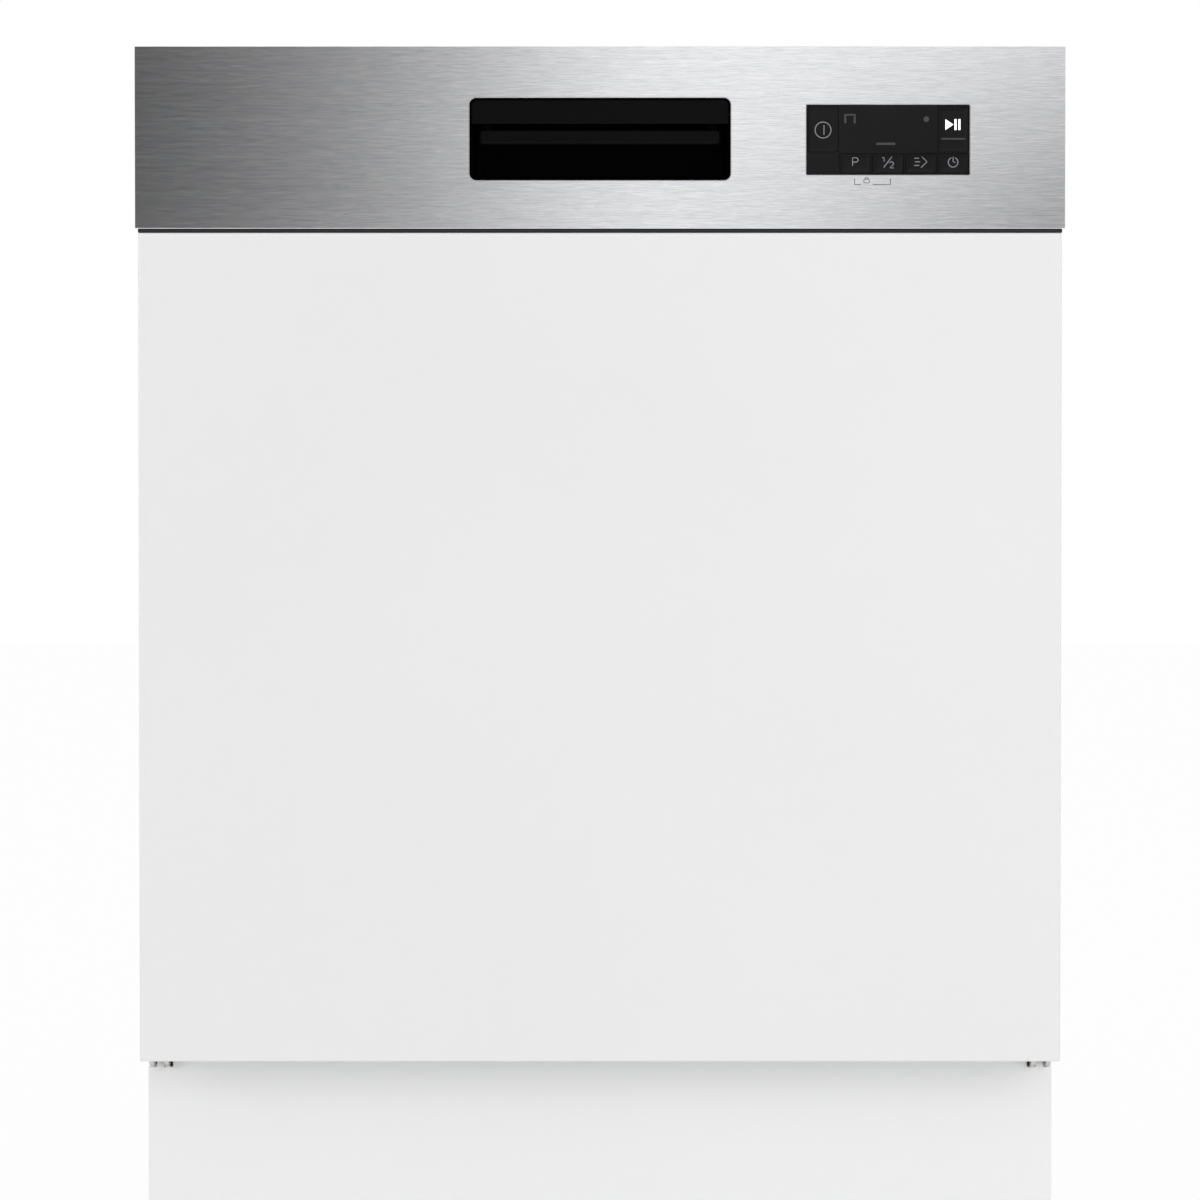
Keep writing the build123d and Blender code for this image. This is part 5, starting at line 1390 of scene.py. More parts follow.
# ---- what stands in the tub ----
class DISHWASHER_OT_cutlery_basket(bpy.types.Operator):
    """Slotted cutlery basket with its dividers and handle"""
    bl_idname = "dishwasher.cutlery_basket"
    bl_label = "Cutlery basket"

    def execute(self, context):
        x, y, z = spans("cutlery_basket")
        wall, slat, pitch, bar, edge, handle_rise, cells = 2, 3.4, 8.6, 1.5, 0.4, 46, 4
        top, foot = z[1] - handle_rise, z[0] + 4
        inside = (y[0] + wall - 0.5, y[1] - wall + 0.5)
        bm = bmesh.new()
        box(bm, (-slat / 2, slat / 2), (-wall / 2, wall / 2), (0, 1))
        soften(bm, 0.35, segments=1)
        shape = to_mesh(bm)
        dividers = [x[0] + (x[1] - x[0]) * part / cells for part in range(cells + 1)]
        places, turns = [], []
        for left, right in zip(dividers, dividers[1:]):
            for across in even(left, right, pitch)[1:-1]:
                places += [(across, y[0] + wall / 2, foot), (across, y[1] - wall / 2, foot)]
                turns += [(0, 0, 0)] * 2
        for ahead in even(y[0], y[1], pitch)[1:-1]:
            places += [(x[0] + wall / 2, ahead, foot), (x[1] - wall / 2, ahead, foot)]
            turns += [(0, 0, 90)] * 2
        height = top - z[0] - 8
        slats = copies(shape, places, "grey_plastic", turns, [(1, 1, height)] * len(places))
        bm = bmesh.new()
        for low, high in ((z[0] + 3, z[0] + 12), (z[0] + 52, z[0] + 58), (top - 16, top)):
            for ahead in ((y[0], y[0] + wall), (y[1] - wall, y[1])):
                soft_box(bm, x, ahead, (low, high), edge)
            for across in ((x[0] + 0.1, x[0] + wall), (x[1] - wall, x[1] - 0.1)):
                soft_box(bm, across, inside, (low + 0.1, high - 0.1), edge)
        for across in dividers[1:-1]:
            soft_box(bm, (across - 1, across + 1), inside, (z[0] + 1, top - 4), edge)
        for across in dividers:
            at = min(max(across, x[0] + 2.3), x[1] - 2.3)
            for ahead in ((y[0] + 0.3, y[0] + 3), (y[1] - 3, y[1] - 0.3)):
                soft_box(bm, (at - 2, at + 2), ahead, (z[0] + 3.4, top - 0.4), edge)
        (left, right), (front, back) = inset(x, y, 0.2)
        for across in even(x[0] + bar, x[1] - bar, 9):
            soft_box(bm, (across - bar, across + bar), (front, back), (z[0], z[0] + 2.5), edge)
        for ahead in even(y[0] + bar, y[1] - bar, 11):
            soft_box(bm, (left, right), (ahead - bar, ahead + bar), (z[0] + 0.6, z[0] + 3.1), edge)
        middle, centre = mid(y), mid(x)
        # half widths of the handle and of its opening, half its thickness, and its bevel
        plate, opening, half, bevel = 60, 50, 5, 0.9
        outer = rounded_outline((centre - plate, centre + plate), (z[0] + 1, z[1]), (16, 16, 2, 2), 6)
        inner = rounded_outline((centre - opening, centre + opening), (top, z[1] - 9), (9, 9, 6, 6), 6)
        handle, faces = bmesh.new(), []
        for ahead, gap in ((-half, bevel), (bevel - half, 0), (half - bevel, 0), (half, bevel)):
            shrink = [(centre + (a - centre) * (1 - gap / plate), b - gap * (b > z[0] + 40))
                      for a, b in outer]
            widen = [(centre + (a - centre) * (1 + gap / opening), b + gap * (1 if b > top + 15 else -1))
                     for a, b in inner]
            faces.append((ring(handle, shrink, middle + ahead), ring(handle, widen, middle + ahead)))
        bridge(handle, [face[0] for face in faces])
        bridge(handle, [face[1] for face in faces])
        fill(handle, *faces[0])
        fill(handle, *faces[-1])
        bars = to_mesh(bm, merge=0)
        piece("basket_slats", joined(slats, bars, to_mesh(handle)), "cutlery_basket", smooth=40)
        return {"FINISHED"}


class DISHWASHER_OT_wheels(bpy.types.Operator):
    """Spoked wheels of the lower rack"""
    bl_idname = "dishwasher.wheels"
    bl_label = "Rack wheels"

    def execute(self, context):
        tread = ((3.4, 1.4), (2.6, 0.6), (1, 0), (0, 1.6))    # depths, and gaps from the wheel's sides
        for node in [name for name in frame["nodes"] if name.startswith("wheel_")]:
            x, y, z = spans(node)
            hub, radius = (mid(y), mid(z)), half_of(y)
            bm = bmesh.new()
            rim = [(radius - depth, x[0] + gap) for depth, gap in tread]
            rim += [(radius - depth, x[1] - gap) for depth, gap in tread[::-1]]
            lathe(bm, rim + rim[:1], "x", (0, *hub), 40, open_ends=True)
            collar(bm, "x", x, (0, *hub), 3.05, 6.2, 24)
            shape = bmesh.new()
            box(shape, (x[0] + 3, x[1] - 3), (5, radius - 3), (-1.2, 1.2))
            soften(shape, 0.4, segments=1)
            spokes = fan(to_mesh(shape), "x", (0, *hub), 6, SLOT_OF[node])
            piece(node + "_spoked", joined(to_mesh(bm), spokes), node)
        return {"FINISHED"}


def blade_outline(place, reach, root, tip, gap):
    """Points round a spray arm seen from above."""
    points = []
    end = reach - tip
    for sign in (1, -1):
        points.append((0, sign * -(root - gap)))
        for angle in range(-90, 91, 15):
            turn = math.radians(angle)
            points.append((sign * (end + (tip - gap) * math.cos(turn)), sign * (tip - gap) * math.sin(turn)))
    return [(place[0] + across, place[1] + ahead) for across, ahead in points]


def arm_mesh(node, hub, bore):
    """A hollow propeller with a crowned top, a weld seam and jets along its blades."""
    x, y, z = spans(node)
    place, reach = (mid(x), mid(y)), half_of(x)
    base, root, tip, top = z[0], 31, 17, 12.9
    # heights over the base, and how far the outline draws in there
    levels = ((0.4, 3), (0.8, 1.2), (1.6, 0.3), (3, 0), (6.6, 0), (6.8, 0.5), (7.3, 0.5), (7.5, 0),
              (9.5, 0.4), (11, 1.6), (12, 3.6), (12.6, 6.5), (top, 10))
    bm = bmesh.new()
    rings = []
    for height, gap in levels:
        outline = blade_outline(place, reach, root, tip, gap)
        rings.append([bm.verts.new((a * MM, b * MM, (base + height) * MM)) for a, b in outline])
    skin(bm, rings)
    lathe(bm, [(bore, 0), (33, 0), (34.6, 1), (35, 2.5), (35, 9), (33.5, 12), (29, 13.6), (bore, 13.6),
               (bore, 0)], "z", (*place, base), 48, open_ends=True)
    if hub:
        lathe(bm, [(0, 12), (26.5, 12), (27, 14.4), (25.6, 16.4), (23, 17), (10, 16.4), (8, 15.2), (0, 15)],
              "z", (*place, base), 40)
        grips, circle = 12, 25.4
        for step in range(grips):
            angle = math.radians(360 / grips * step)
            spot = place[0] + circle * math.cos(angle), place[1] + circle * math.sin(angle)
            rod(bm, "z", (base + 12.5, base + 16.6), (*spot, 0), 1.3, 8)
    shape = bmesh.new()
    lathe(shape, [(6, -1), (5.4, 0.3), (4.6, 1.05), (2.4, 1.05), (1.9, 0.2), (0, 0.2)], sides=14)
    first, pitch, most, margin = 48, 29, 5, 12
    jets = []
    for step in range(most):
        along, aside = first + pitch * step, -7 if step % 2 else 6
        if along < reach - margin:
            jets += [(place[0] + sign * along, place[1] + sign * aside, base + top) for sign in (-1, 1)]
    return joined(to_mesh(bm), copies(to_mesh(shape), jets, SLOT_OF[node]))


class DISHWASHER_OT_spray_arms(bpy.types.Operator):
    """Spray arms with their jets"""
    bl_idname = "dishwasher.spray_arms"
    bl_label = "Spray arms"

    def execute(self, context):
        piece("lower_arm_blades", arm_mesh("lower_spray_arm", True, 15.1), "lower_spray_arm")
        piece("upper_arm_blades", arm_mesh("upper_spray_arm", False, 12.1), "upper_spray_arm")
        return {"FINISHED"}


class DISHWASHER_OT_filters(bpy.types.Operator):
    """Pierced filter plate, filter cup and salt cap"""
    bl_idname = "dishwasher.filters"
    bl_label = "Filters and salt cap"

    def execute(self, context):
        x, y, z = spans("flat_filter")
        cup = spans("filter_cup")
        place, radius, bore = (mid(x), mid(y)), half_of(x), half_of(cup[0])
        floor, pitch, sheet = z[0], 4.0, 1.2
        cell, hole = pitch / math.sqrt(3) * 0.995, 0.56    # reach of a cell's corners, its hole's share
        corners = [math.radians(30 + 60 * step) for step in range(6)]
        shape, rings = bmesh.new(), []
        for reach, height in ((cell, 0), (cell, sheet), (cell * hole, sheet), (cell * hole, 0)):
            rings.append([shape.verts.new((reach * MM * math.cos(a), reach * MM * math.sin(a), height * MM))
                          for a in corners])
        bridge(shape, rings + rings[:1])
        pattern = new_object("pattern", to_mesh(shape))
        mesh = grow("sieve", None, "zinc_steel", Pitch=pitch * MM, Radius=(radius - 2) * MM,
                    Inner=(bore + 3) * MM, Rows=2 * int(radius / pitch) + 3, Shape=pattern)
        bpy.data.objects.remove(pattern)
        mesh.transform(moved_to((*place, floor)))
        bm = bmesh.new()
        collar(bm, "z", (floor, floor + 3.5), (*place, 0), radius - 3.2, radius, 64)
        collar(bm, "z", (floor, floor + 1.5), (*place, 0), bore + 0.05, bore + 4.5, 48)
        piece("filter_plate", joined(mesh, to_mesh(bm)), "flat_filter")
        z, grip_rise, wall = cup[2], 7, 2
        rim, inner, low = z[1] - grip_rise, bore - wall, z[0] + wall
        bm = bmesh.new()
        lathe(bm, [(inner, low), (0, low), (0, z[0]), (bore - 1, z[0]), (bore, z[0] + 1), (bore, rim - 1),
                   (bore - 1, rim), (bore - 3.4, rim), (bore - 4, rim - 1), (bore - 4, rim - 5),
                   (inner, rim - 6), (inner, low)], "z", (*place, 0), 48, open_ends=True)
        grip = bmesh.new()
        long, short = (-bore + 1, bore - 1), (-3, 3)
        for across, ahead in ((long, short), (short, long)):
            box(grip, [place[0] + value for value in across], [place[1] + value for value in ahead],
                (rim - 4, z[1]))
        soften(grip, 1.1, segments=3)
        lathe(grip, [(0, rim - 4), (11, rim - 4), (11, z[1] - 1.6), (10, z[1] - 0.4), (0, z[1])], "z",
              (*place, 0), 28)
        rib = bmesh.new()
        box(rib, (bore - 0.6, bore), (-0.7, 0.7), (rim - 5.5, rim - 1.2))
        ribs = fan(to_mesh(rib), "z", (*place, 0), 36, SLOT_OF["filter_cup"])
        piece("filter_basket", joined(to_mesh(bm), to_mesh(grip), ribs), "filter_cup")
        x, y, z = spans("salt_cap")
        place, radius = (mid(x), mid(y)), half_of(x)
        plug, low = radius - 6.1, z[0] + 10      # the plug's radius, and its top under the knob
        bm = bmesh.new()
        lathe(bm, [(0, z[0]), (radius - 7, z[0]), (plug, z[0] + 1), (plug, low), (radius - 1.2, low),
                   (radius - 0.6, low + 0.6), (radius - 0.6, low + 5), (radius - 2, low + 7),
                   (radius - 6, low + 8), (radius - 9, low + 7.4), (radius - 11, low + 6.2),
                   (0, low + 6)], "z", (*place, 0), 56)
        grip = bmesh.new()
        box(grip, (place[0] - radius + 6, place[0] + radius - 6), (place[1] - 5, place[1] + 5),
            (low + 3, z[1]))
        soften(grip, 1.6, segments=3)
        rib = bmesh.new()
        box(rib, (radius - 1.2, radius), (-1, 1), (low + 0.6, low + 4.8))
        soften(rib, 0.3, segments=1)
        ribs = fan(to_mesh(rib), "z", (*place, 0), 30, SLOT_OF["salt_cap"])
        piece("salt_cap_ribbed", joined(to_mesh(bm), to_mesh(grip), ribs), "salt_cap")
        return {"FINISHED"}


# ---- door fittings, seal, fasteners and base ----
class DISHWASHER_OT_dispenser(bpy.types.Operator):
    """Detergent dispenser, its sliding lid and the rinse aid cap"""
    bl_idname = "dishwasher.dispenser"
    bl_label = "Dispenser"

    def execute(self, context):
        x, y, z = spans("dispenser_body")
        lid, cap = spans("dispenser_lid"), spans("rinse_aid_cap")
        face = y[1]
        cup = inset(lid[0], lid[2], 4)
        well = mid(cap[0]), mid(cap[2])
        bore = half_of(cap[0]) - 6
        corner, edge, back_corner = 11, 1.4, 5
        step, collar_back = 6.2, y[0] + 26       # the body behind the collar is smaller by this step
        bm = bmesh.new()
        outer = [ring(bm, rounded_outline(*inset(x, z, gap), corner - gap, 6), face - back)
                 for gap, back in quarter(edge)]
        outer.append(ring(bm, rounded_outline(x, z, corner, 6), collar_back))
        outer += [ring(bm, rounded_outline(*inset(x, z, step), back_corner, 6), depth)
                  for depth in (collar_back, y[0])]
        bridge(bm, outer)
        bm.faces.new(outer[-1])
        chamber = [ring(bm, rounded_outline(*inset(*cup, gap), 7, 6), face - depth)
                   for gap, depth in ((-1, 0), (-0.3, 0.3), (0, 1), (0.6, 19), (2, 22.4), (5, 24))]
        bridge(bm, chamber)
        bm.faces.new(chamber[-1])
        socket = [ring(bm, arc(*well, radius, steps=47)[:-1], face - depth)
                  for radius, depth in ((bore + 1, 0), (bore, 1), (bore, 11.5))]
        bridge(bm, socket)
        bm.faces.new(socket[-1])
        fill(bm, outer[0], chamber[0], socket[0])
        shell = to_mesh(bm)
        details = bmesh.new()
        for rail in (lid[2][0] - 4.5, lid[2][1] + 1.5):
            box(details, (x[0] + 14, lid[0][1] + 52), (face - 0.6, face + 0.01), (rail, rail + 3))
        for mark in (14, 28, 42):
            box(details, (cup[0][0] + 8, cup[0][0] + 20), (face - 24.2, face - 23.2),
                (cup[1][0] + mark, cup[1][0] + mark + 1))
        soften(details, 0.25, segments=1)
        piece("dispenser_frame", joined(shell, to_mesh(details)), "dispenser_body")
        x, y, z = lid
        corner, edge = 6, 1.3
        bm = bmesh.new()
        rings = [ring(bm, rounded_outline(x, z, corner, 6), y[0])]
        rings += [ring(bm, rounded_outline(*inset(x, z, gap), corner - gap, 6), y[1] - back)
                  for gap, back in list(quarter(edge))[::-1]]
        rings += [ring(bm, rounded_outline(*inset(x, z, gap), corner, 6), y[1] - back)
                  for gap, back in ((9, 0), (9.6, 0.5), (11, 0.7))]
        skin(bm, rings)
        ribs = bmesh.new()
        for step in range(6):
            across = x[0] + 15 + 3.4 * step
            box(ribs, (across, across + 1.5), (y[1] - 1.2, y[1]), (z[0] + 22, z[1] - 22))
        soften(ribs, 0.3, segments=1)
        piece("dispenser_slide", joined(to_mesh(bm), to_mesh(ribs)), "dispenser_lid")
        x, (back, front), _ = cap
        radius, head, plug = half_of(x), 5, bore - 0.1
        low = front - head
        bm = bmesh.new()
        lathe(bm, [(0, back), (plug, back), (plug, low), (radius - 0.8, low), (radius - 0.3, low + 0.6),
                   (radius - 0.5, front - 1.4), (radius - 1.8, front - 0.4), (radius - 5, front - 0.3),
                   (radius - 7, front - 1.1), (0, front - 1.2)], "y", (well[0], 0, well[1]), 48)
        grip = bmesh.new()
        box(grip, (well[0] - 2.2, well[0] + 2.2), (front - 2.5, front),
            (well[1] - radius + 6, well[1] + radius - 6))
        soften(grip, 0.8, segments=2)
        rib = bmesh.new()
        box(rib, (radius - 1, radius), (low - front + 0.6, -1.6), (-0.7, 0.7))
        ribs = fan(to_mesh(rib), "y", (well[0], front, well[1]), 24, SLOT_OF["rinse_aid_cap"])
        piece("rinse_cap_ribbed", joined(to_mesh(bm), to_mesh(grip), ribs), "rinse_aid_cap")
        return {"FINISHED"}


class DISHWASHER_OT_seal(bpy.types.Operator):
    """Rubber seal round the tub's mouth, of a large and a small bulb"""
    bl_idname = "dishwasher.seal"
    bl_label = "Tub seal"

    def execute(self, context):
        x, y, z = spans("tub_seal")
        front, rear = 3.45, 2.6          # radii of the two bulbs
        (left, right), (_, top) = inset(x, z, front)
        bulbs = []
        for radius, ahead in ((front, y[0] + front), (rear, y[1] - rear)):
            path = [(left, ahead, z[0]), (left, ahead, top), (right, ahead, top), (right, ahead, z[0])]
            bulbs.append(wires([path], "seal_rubber", radius, 5, 14))
        piece("seal_bulb", joined(*bulbs), "tub_seal", smooth=50)
        return {"FINISHED"}


def cross_screw(radius, height, length, shank):
    """A pan-head screw with a cross recess, its seat at height 0."""
    bm = bmesh.new()
    lathe(bm, [(0, -length), (shank * 0.7, -length), (shank, -length + 1), (shank, 0), (radius, 0),
               (radius, height * 0.35), (radius * 0.93, height * 0.62), (radius * 0.75, height * 0.88),
               (radius * 0.45, height), (0, height)], sides=28)
    head = new_object("head", to_mesh(bm))
    bm = bmesh.new()
    reach, half = radius * 0.55, radius * 0.11
    corners = [(reach, half), (half, half), (half, reach), (-half, reach), (-half, half), (-reach, half)]
    corners += [(-a, -b) for a, b in corners]
    rings = [[bm.verts.new((a * part * MM, b * part * MM, at * MM)) for a, b in corners]
             for part, at in ((0.8, height * 0.3), (1.1, height * 1.2))]
    skin(bm, rings)
    recess = new_object("recess", to_mesh(bm))
    cut = head.modifiers.new("recess", "BOOLEAN")
    cut.object, cut.operation = recess, "DIFFERENCE"
    mesh = plain_mesh(head)
    bpy.data.objects.remove(recess)
    return mesh


class DISHWASHER_OT_screws(bpy.types.Operator):
    """Screws that hold the side panels and the rear panel"""
    bl_idname = "dishwasher.screws"
    bl_label = "Casing screws"

    def execute(self, context):
        x, y, z = spans("casing_screws")
        radius, head = 4, 2.2
        places = [(side, ahead, z[1] - head) for side in (x[0] + radius, x[1] - radius)
                  for ahead in even(y[0] + radius, y[1] - radius, 120)]
        heads = copies(cross_screw(radius, head, 8, 1.8), places, "zinc_steel")
        piece("casing_screw_heads", heads, "casing_screws")
        x, y, z = spans("rear_panel")
        radius, head = 3.6, 1.9
        places = [(across, y[1] - head, height) for across in (x[0] + 5, x[1] - 5)
                  for height in even(z[0] + 30, z[1] - 30, 150)]
        heads = copies(cross_screw(radius, head, 3, 1.6), places, "zinc_steel", [(-90, 0, 0)] * len(places))
        piece("rear_screw_heads", heads, body="machine", slot="zinc_steel")
        return {"FINISHED"}


def coil(place, axis, turns, radius, height, wire, material, sides=6, steps=16):
    """A wire wound round an axis, in millimetres, that starts at place."""
    mesh = grow("spiral", None, material, Turns=float(turns), Radius=radius * MM, Height=height * MM,
                Wire=wire * MM, Steps=steps, Sides=sides)
    mesh.transform(moved_to(place) @ TURN[axis])
    return mesh


class DISHWASHER_OT_feet(bpy.types.Operator):
    """Levelling feet with threaded stems"""
    bl_idname = "dishwasher.feet"
    bl_label = "Feet"

    def execute(self, context):
        pitch = settings("casing").thread_pitch / MM
        for node in [name for name in frame["nodes"] if name.startswith("foot_")]:
            x, y, z = spans(node)
            place, pad = (mid(x), mid(y)), half_of(x)
            sole, nut = 10, 20               # tops of the pad and of the nut over it
            run = z[1] - nut - 3             # length of the thread
            bm = bmesh.new()
            lathe(bm, [(0, 0.8), (pad - 6, 0.8), (pad - 4.6, 0), (pad - 1, 0), (pad, 1), (pad, 3.6),
                       (pad - 0.6, 4), (pad - 0.6, 5), (pad, 5.4), (pad, 8.4), (pad - 1.6, sole),
                       (0, sole)], "z", (*place, 0), 48)
            lathe(bm, [(0, sole), (11.2, sole), (12, sole + 0.8), (12, nut - 0.8), (11.2, nut), (0, nut)],
                  "z", (*place, 0), 6)
            lathe(bm, [(0, nut), (4.2, nut), (4.2, z[1] - 1), (3.4, z[1]), (0, z[1])], "z", (*place, 0), 20)
            thread = coil((*place, nut + 1), "z", run / pitch, 4.15, run, 0.85, SLOT_OF[node], 4, 14)
            piece(node + "_threaded", joined(to_mesh(bm), thread), node)
        return {"FINISHED"}


class DISHWASHER_OT_springs(bpy.types.Operator):
    """Coil springs that balance the door"""
    bl_idname = "dishwasher.springs"
    bl_label = "Door springs"

    def execute(self, context):
        x, y, z = spans("hinge_springs")
        radius, wire, length, pitch, tail = half_of(z), 0.8, 120, 1.9, 16
        start, height = y[0] + tail, mid(z)
        first, last = start + 1, start + length - 1
        parts = []
        for across in (x[0] + radius, x[1] - radius):
            parts.append(coil((across, start, height), "y", length / pitch, radius - wire, length, wire,
                              "zinc_steel"))
            tails = [[(across, y[0], height), (across, first, height), (across, first, z[1] - wire)],
                     [(across, y[1], height), (across, last, height), (across, last, z[0] + wire)]]
            parts.append(wires(tails, "zinc_steel", wire, 4))
        piece("spring_coils", joined(*parts), "hinge_springs", smooth=50)
        return {"FINISHED"}


class DISHWASHER_OT_water_inlet(bpy.types.Operator):
    """Inlet valve with its threaded nose"""
    bl_idname = "dishwasher.water_inlet"
    bl_label = "Water inlet"

    def execute(self, context):
        x, y, z = spans("water_inlet_valve")
        across, height, end = mid(x), z[0] + 20, y[1]      # the nose's axis and its mouth
        depth, block = 34, z[0] + 40                       # of the valve's body
        nose, bore, core = end - 26, 8, 12.2
        bm = bmesh.new()
        box(bm, x, (y[0], y[0] + depth), (z[0], block))
        box(bm, (across - 8, across + 8), (y[0] + 3, y[0] + 9), (block - 1, z[1] - 3))
        soften(bm, 1.6, segments=2)
        lathe(bm, [(0, block), (12.2, block), (13, block + 1), (13, block + 4), (11.6, block + 5),
                   (11.6, z[1] - 4), (13, z[1] - 3), (13, z[1] - 0.8), (12.2, z[1]), (0, z[1])], "z",
              (across, y[0] + depth / 2, 0), 32)
        lathe(bm, [(bore, nose - 4), (13, nose - 4), (13, nose - 0.2), (18.4, nose), (19.2, nose + 0.8),
                   (19.2, nose + 5), (18.4, nose + 5.9), (core, nose + 6), (core, end - 1), (11.2, end),
                   (8.6, end), (bore, end - 0.6), (bore, nose - 4)], "y", (across, 0, height), 40,
              open_ends=True)
        thread = coil((across, nose + 7.5, height), "y", 9, core + 0.05, 16.2, 0.9,
                      SLOT_OF["water_inlet_valve"], 4, 36)
        piece("inlet_valve_threaded", joined(to_mesh(bm), thread), "water_inlet_valve")
        return {"FINISHED"}


class DISHWASHER_OT_tray_ribs(bpy.types.Operator):
    """Stiffening ribs under the base tray"""
    bl_idname = "dishwasher.tray_ribs"
    bl_label = "Base tray ribs"

    def execute(self, context):
        x, y, z = spans("base_tray")
        back = spans("rear_panel")[1][1] - 35
        pitch = settings("casing").rib_pitch / MM
        depth, thick, margin = 4, 2, 70
        bm = bmesh.new()
        box(bm, (-0.5, 0.5), (-0.5, 0.5), (-depth, 0.01))
        ahead = [(place, (y[0] + back) / 2, z[0]) for place in even(x[0] + margin, x[1] - margin, pitch)]
        across = [(0, place, z[0]) for place in even(y[0] + 40, back - 45, 2 * pitch)]
        sizes = [(thick, back - y[0] - 12, 1)] * len(ahead)
        sizes += [(x[1] - x[0] - 2 * margin, thick, 1)] * len(across)
        piece("tray_ribs", copies(to_mesh(bm), ahead + across, "tray_plastic", sizes=sizes), body="machine",
              slot="tray_plastic")
        return {"FINISHED"}


# ---- the stage ----
def sky():
    """A white studio for the camera, and softer light on the object with a darker side in the gloss."""
    studio = settings("studio")
    world = bpy.data.worlds.new("studio")
    bpy.context.scene.world = world
    world.use_nodes = True
    tree = world.node_tree
    tree.nodes.clear()

    def node(kind, links=None, **values):
        made = tree.nodes.new(kind)
        for name, value in values.items():
            setattr(made, name, value)
        for name, source in (links or {}).items():
            if isinstance(source, bpy.types.NodeSocket):
                tree.links.new(source, made.inputs[name])
            else:
                made.inputs[name].default_value = source
        return made

    def maths(operation, first, second):
        return node("ShaderNodeMath", {0: first, 1: second}, operation=operation).outputs[0]

    def ranged(value, start, end, low=0.0, high=1.0):
        """Maps a value from the range start to end to the range low to high."""
        return node("ShaderNodeMapRange", {"Value": value, "From Min": start, "From Max": end,
                                           "To Min": low, "To Max": high}).outputs["Result"]

    # how far a ray goes aside and up for each metre that it goes to the front
    way = node("ShaderNodeSeparateXYZ", {0: node("ShaderNodeTexCoord").outputs["Generated"]}).outputs
    ahead = maths("MAXIMUM", maths("MULTIPLY", way["Y"], -1.0), 0.05)
    across = maths("DIVIDE", way["X"], ahead)
    height = maths("DIVIDE", way["Z"], ahead)
    # strength of the light from left to right
    edge = 0.6
    ramp = node("ShaderNodeValToRGB", {"Fac": ranged(across, -edge, edge)})
    stops = ((-0.6, 0.4), (-0.3, 0.03), (-0.17, 0.043), (-0.142, 0.075), (-0.1, 0.171), (-0.06, 0.33),
             (-0.03, 0.51), (-0.005, 0.86), (0.012, 1.0), (0.08, 1.0), (0.12, 0.93), (0.16, 0.84),
             (0.25, 0.72), (0.5, 0.72))
    for index, (stop, value) in enumerate(stops):
        at = (stop + edge) / (2 * edge)
        element = ramp.color_ramp.elements[index] if index < 2 else ramp.color_ramp.elements.new(at)
        element.position = at
        element.color = (value, value, value, 1)
    # on the right the light fades out towards the floor, and high up it is a little stronger
    right = ranged(across, 0.02, 0.14, high=0.9)
    low = ranged(height, 0.15, 0.1)
    high = ranged(low, 0.0, 1.0, 1.08, 1.0)
    shade = maths("SUBTRACT", high, maths("MULTIPLY", right, low))
    shaded = node("ShaderNodeVectorMath", {0: ramp.outputs["Color"]}, operation="SCALE")
    tree.links.new(shade, shaded.inputs["Scale"])
    # all this only in front of the machine, plain white everywhere else
    facing = ranged(way["Y"], -0.75, -0.9)
    seen = node("ShaderNodeMix", data_type="RGBA")
    tints = [socket for socket in seen.inputs if socket.type == "RGBA"]
    tints[0].default_value = (1, 1, 1, 1)
    tree.links.new(facing, seen.inputs["Factor"])
    tree.links.new(shaded.outputs[0], tints[1])
    seen = [socket for socket in seen.outputs if socket.type == "RGBA"][0]
    # mirrors see it in full, matt surfaces get it as daylight, and the camera sees plain white
    rays = node("ShaderNodeLightPath").outputs
    gloss = node("ShaderNodeBackground", {"Color": seen, "Strength": 1.0}).outputs[0]
    white = node("ShaderNodeBackground", {"Color": (1, 1, 1, 1), "Strength": 1.0}).outputs[0]
    soft = node("ShaderNodeBackground", {"Color": seen, "Strength": studio.daylight}).outputs[0]
    lit = node("ShaderNodeMixShader", {0: rays["Is Glossy Ray"], 1: soft, 2: gloss}).outputs[0]
    clear = maths("MAXIMUM", rays["Is Camera Ray"], rays["Is Transmission Ray"])
    mixed = node("ShaderNodeMixShader", {0: clear, 1: lit, 2: white}).outputs[0]
    node("ShaderNodeOutputWorld", {"Surface": mixed})


def lamp(name, place, target, size, power):
    """A soft lamp aimed at a target, in metres, that mirrors don't show."""
    light = bpy.data.lights.new(name, "AREA")
    light.shape = "RECTANGLE"
    light.size, light.size_y = size
    light.energy = power
    made = new_object(name, light)
    made.location = place
    made.rotation_euler = (Vector(target) - Vector(place)).to_track_quat("-Z", "Y").to_euler()
    made.visible_glossy = False


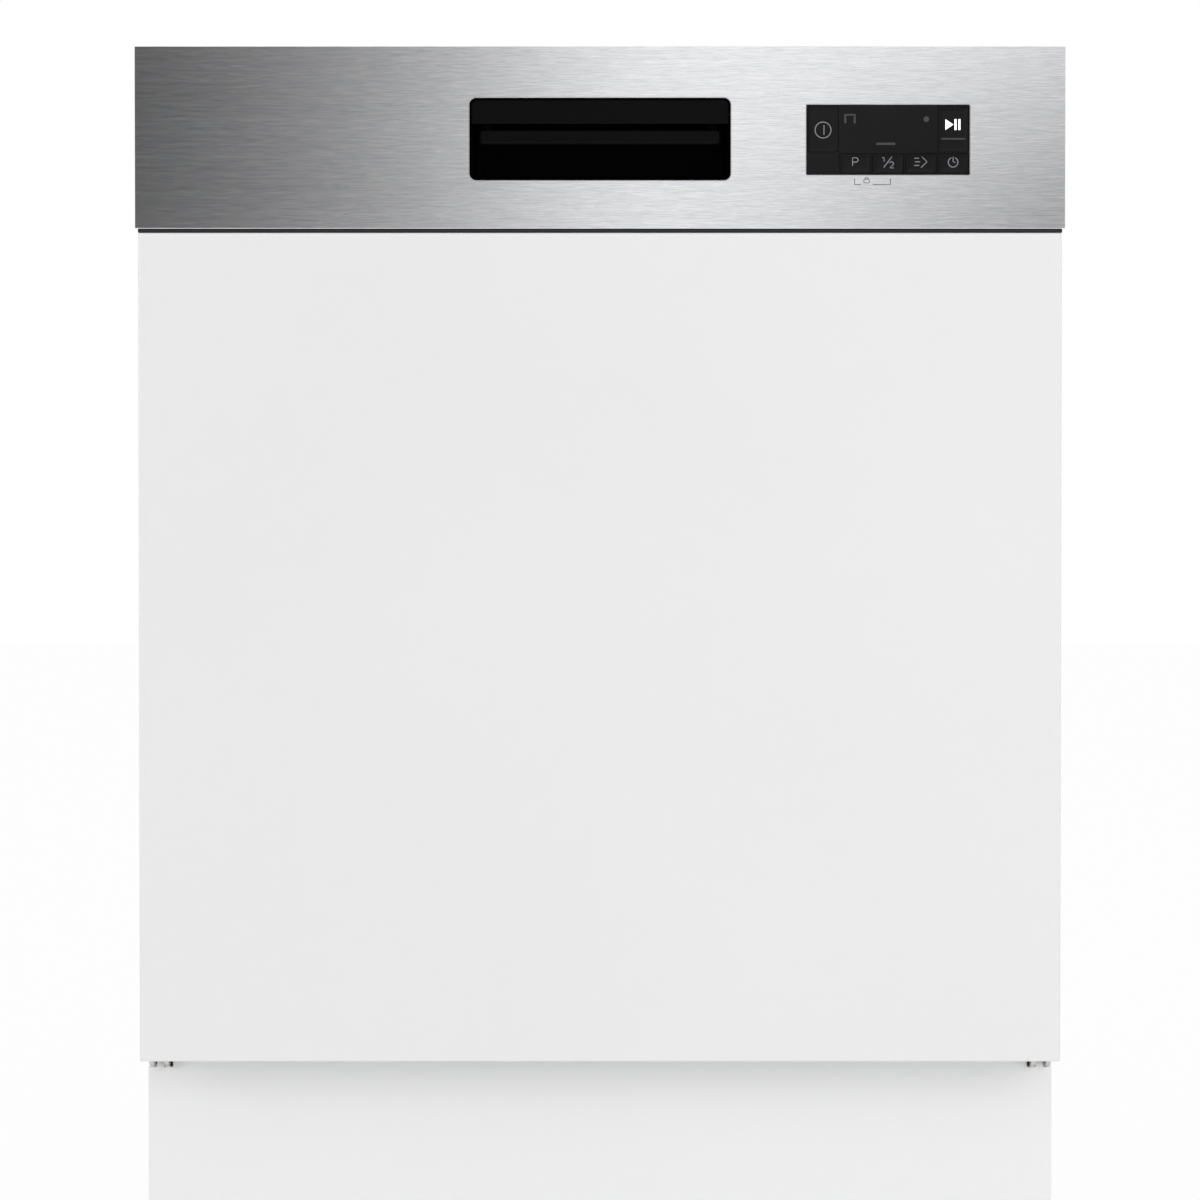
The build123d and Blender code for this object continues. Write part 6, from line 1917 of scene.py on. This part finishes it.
class DISHWASHER_OT_stage(bpy.types.Operator):
    """Pale floor, soft studio light and the camera in front of the machine"""
    bl_idname = "dishwasher.stage"
    bl_label = "Stage"

    def execute(self, context):
        studio = settings("studio")
        floor_radius, tilt = 14000, 0.97
        bm = bmesh.new()
        lathe(bm, [(0, 0), (floor_radius, 0)], sides=96, open_ends=True)
        floor = new_object("floor", to_mesh(bm, merge=0))
        if floor.data.polygons[0].normal.z < 0:
            floor.data.flip_normals()
        paint = Finish("floor_paint", studio.floor_colour, 0.9, Specular_IOR_Level=0.1)
        paint.tint(paint.noise(0.7), 0.997, 1.003)
        paint.glowing_for_camera(studio.floor_glow)
        floor.data.materials.append(paint.material)
        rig.stage(floor)
        sky()
        lamp("side_lamp", (-2.6, -2.6, 1.1), (0, 0, 0.4), (1.8, 1.8), studio.side_lamp)
        lamp("fill_lamp", (1.5, -2.9, 0.7), (0, 0, 0.3), (2.2, 2.2), studio.fill_lamp)
        camera = new_object("camera", bpy.data.cameras.new("camera"))
        camera.data.lens = 97.9
        camera.data.sensor_width = 36
        camera.location = (0, -2.385, 0.497)
        camera.rotation_euler = (math.radians(90 - tilt), 0, 0)
        context.scene.camera = camera
        context.scene.view_settings.view_transform = "Standard"
        return {"FINISHED"}


class DISHWASHER_OT_carried(bpy.types.Operator):
    """Finishes of the CAD pieces that stay as they are"""
    bl_idname = "dishwasher.carried"
    bl_label = "Finishes of the plain pieces"

    def execute(self, context):
        for name, node in frame["nodes"].items():
            node.data.materials.clear()
            node.data.materials.append(finish(SLOT_OF[name]))
            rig.slot(node, SLOT_OF[name])
        return {"FINISHED"}


STEPS = tuple(kind for name, kind in list(globals().items()) if name.startswith("DISHWASHER_OT_"))


class DISHWASHER_PT_panel(bpy.types.Panel):
    """Buttons and settings of the dishwasher"""
    bl_idname = "DISHWASHER_PT_panel"
    bl_label = "Built-in dishwasher"
    bl_space_type = "VIEW_3D"
    bl_region_type = "UI"
    bl_category = "Dishwasher"

    def draw(self, context):
        for name, group in SETTINGS.items():
            rows = self.layout.box()
            rows.label(text=group.__name__.replace("Settings", ""))
            values = getattr(context.scene, name)
            for key in group.__annotations__:
                rows.prop(values, key)
        for step in STEPS:
            self.layout.operator(step.bl_idname)


CLASSES = (*SETTINGS.values(), *STEPS, DISHWASHER_PT_panel)


def register():
    for kind in CLASSES:
        bpy.utils.register_class(kind)
    for name, group in SETTINGS.items():
        setattr(bpy.types.Scene, name, PointerProperty(type=group))


def unregister():
    for name in SETTINGS:
        delattr(bpy.types.Scene, name)
    for kind in reversed(CLASSES):
        bpy.utils.unregister_class(kind)


def main():
    register()
    for step in STEPS:
        getattr(bpy.ops.dishwasher, step.bl_idname.split(".")[1])()
    sizes = {"cad": CAD_BOX, "visual": [list(corner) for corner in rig.bounds()]}
    with open("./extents.json", "w") as file:
        json.dump(sizes, file)


if __name__ == "__main__":
    main()
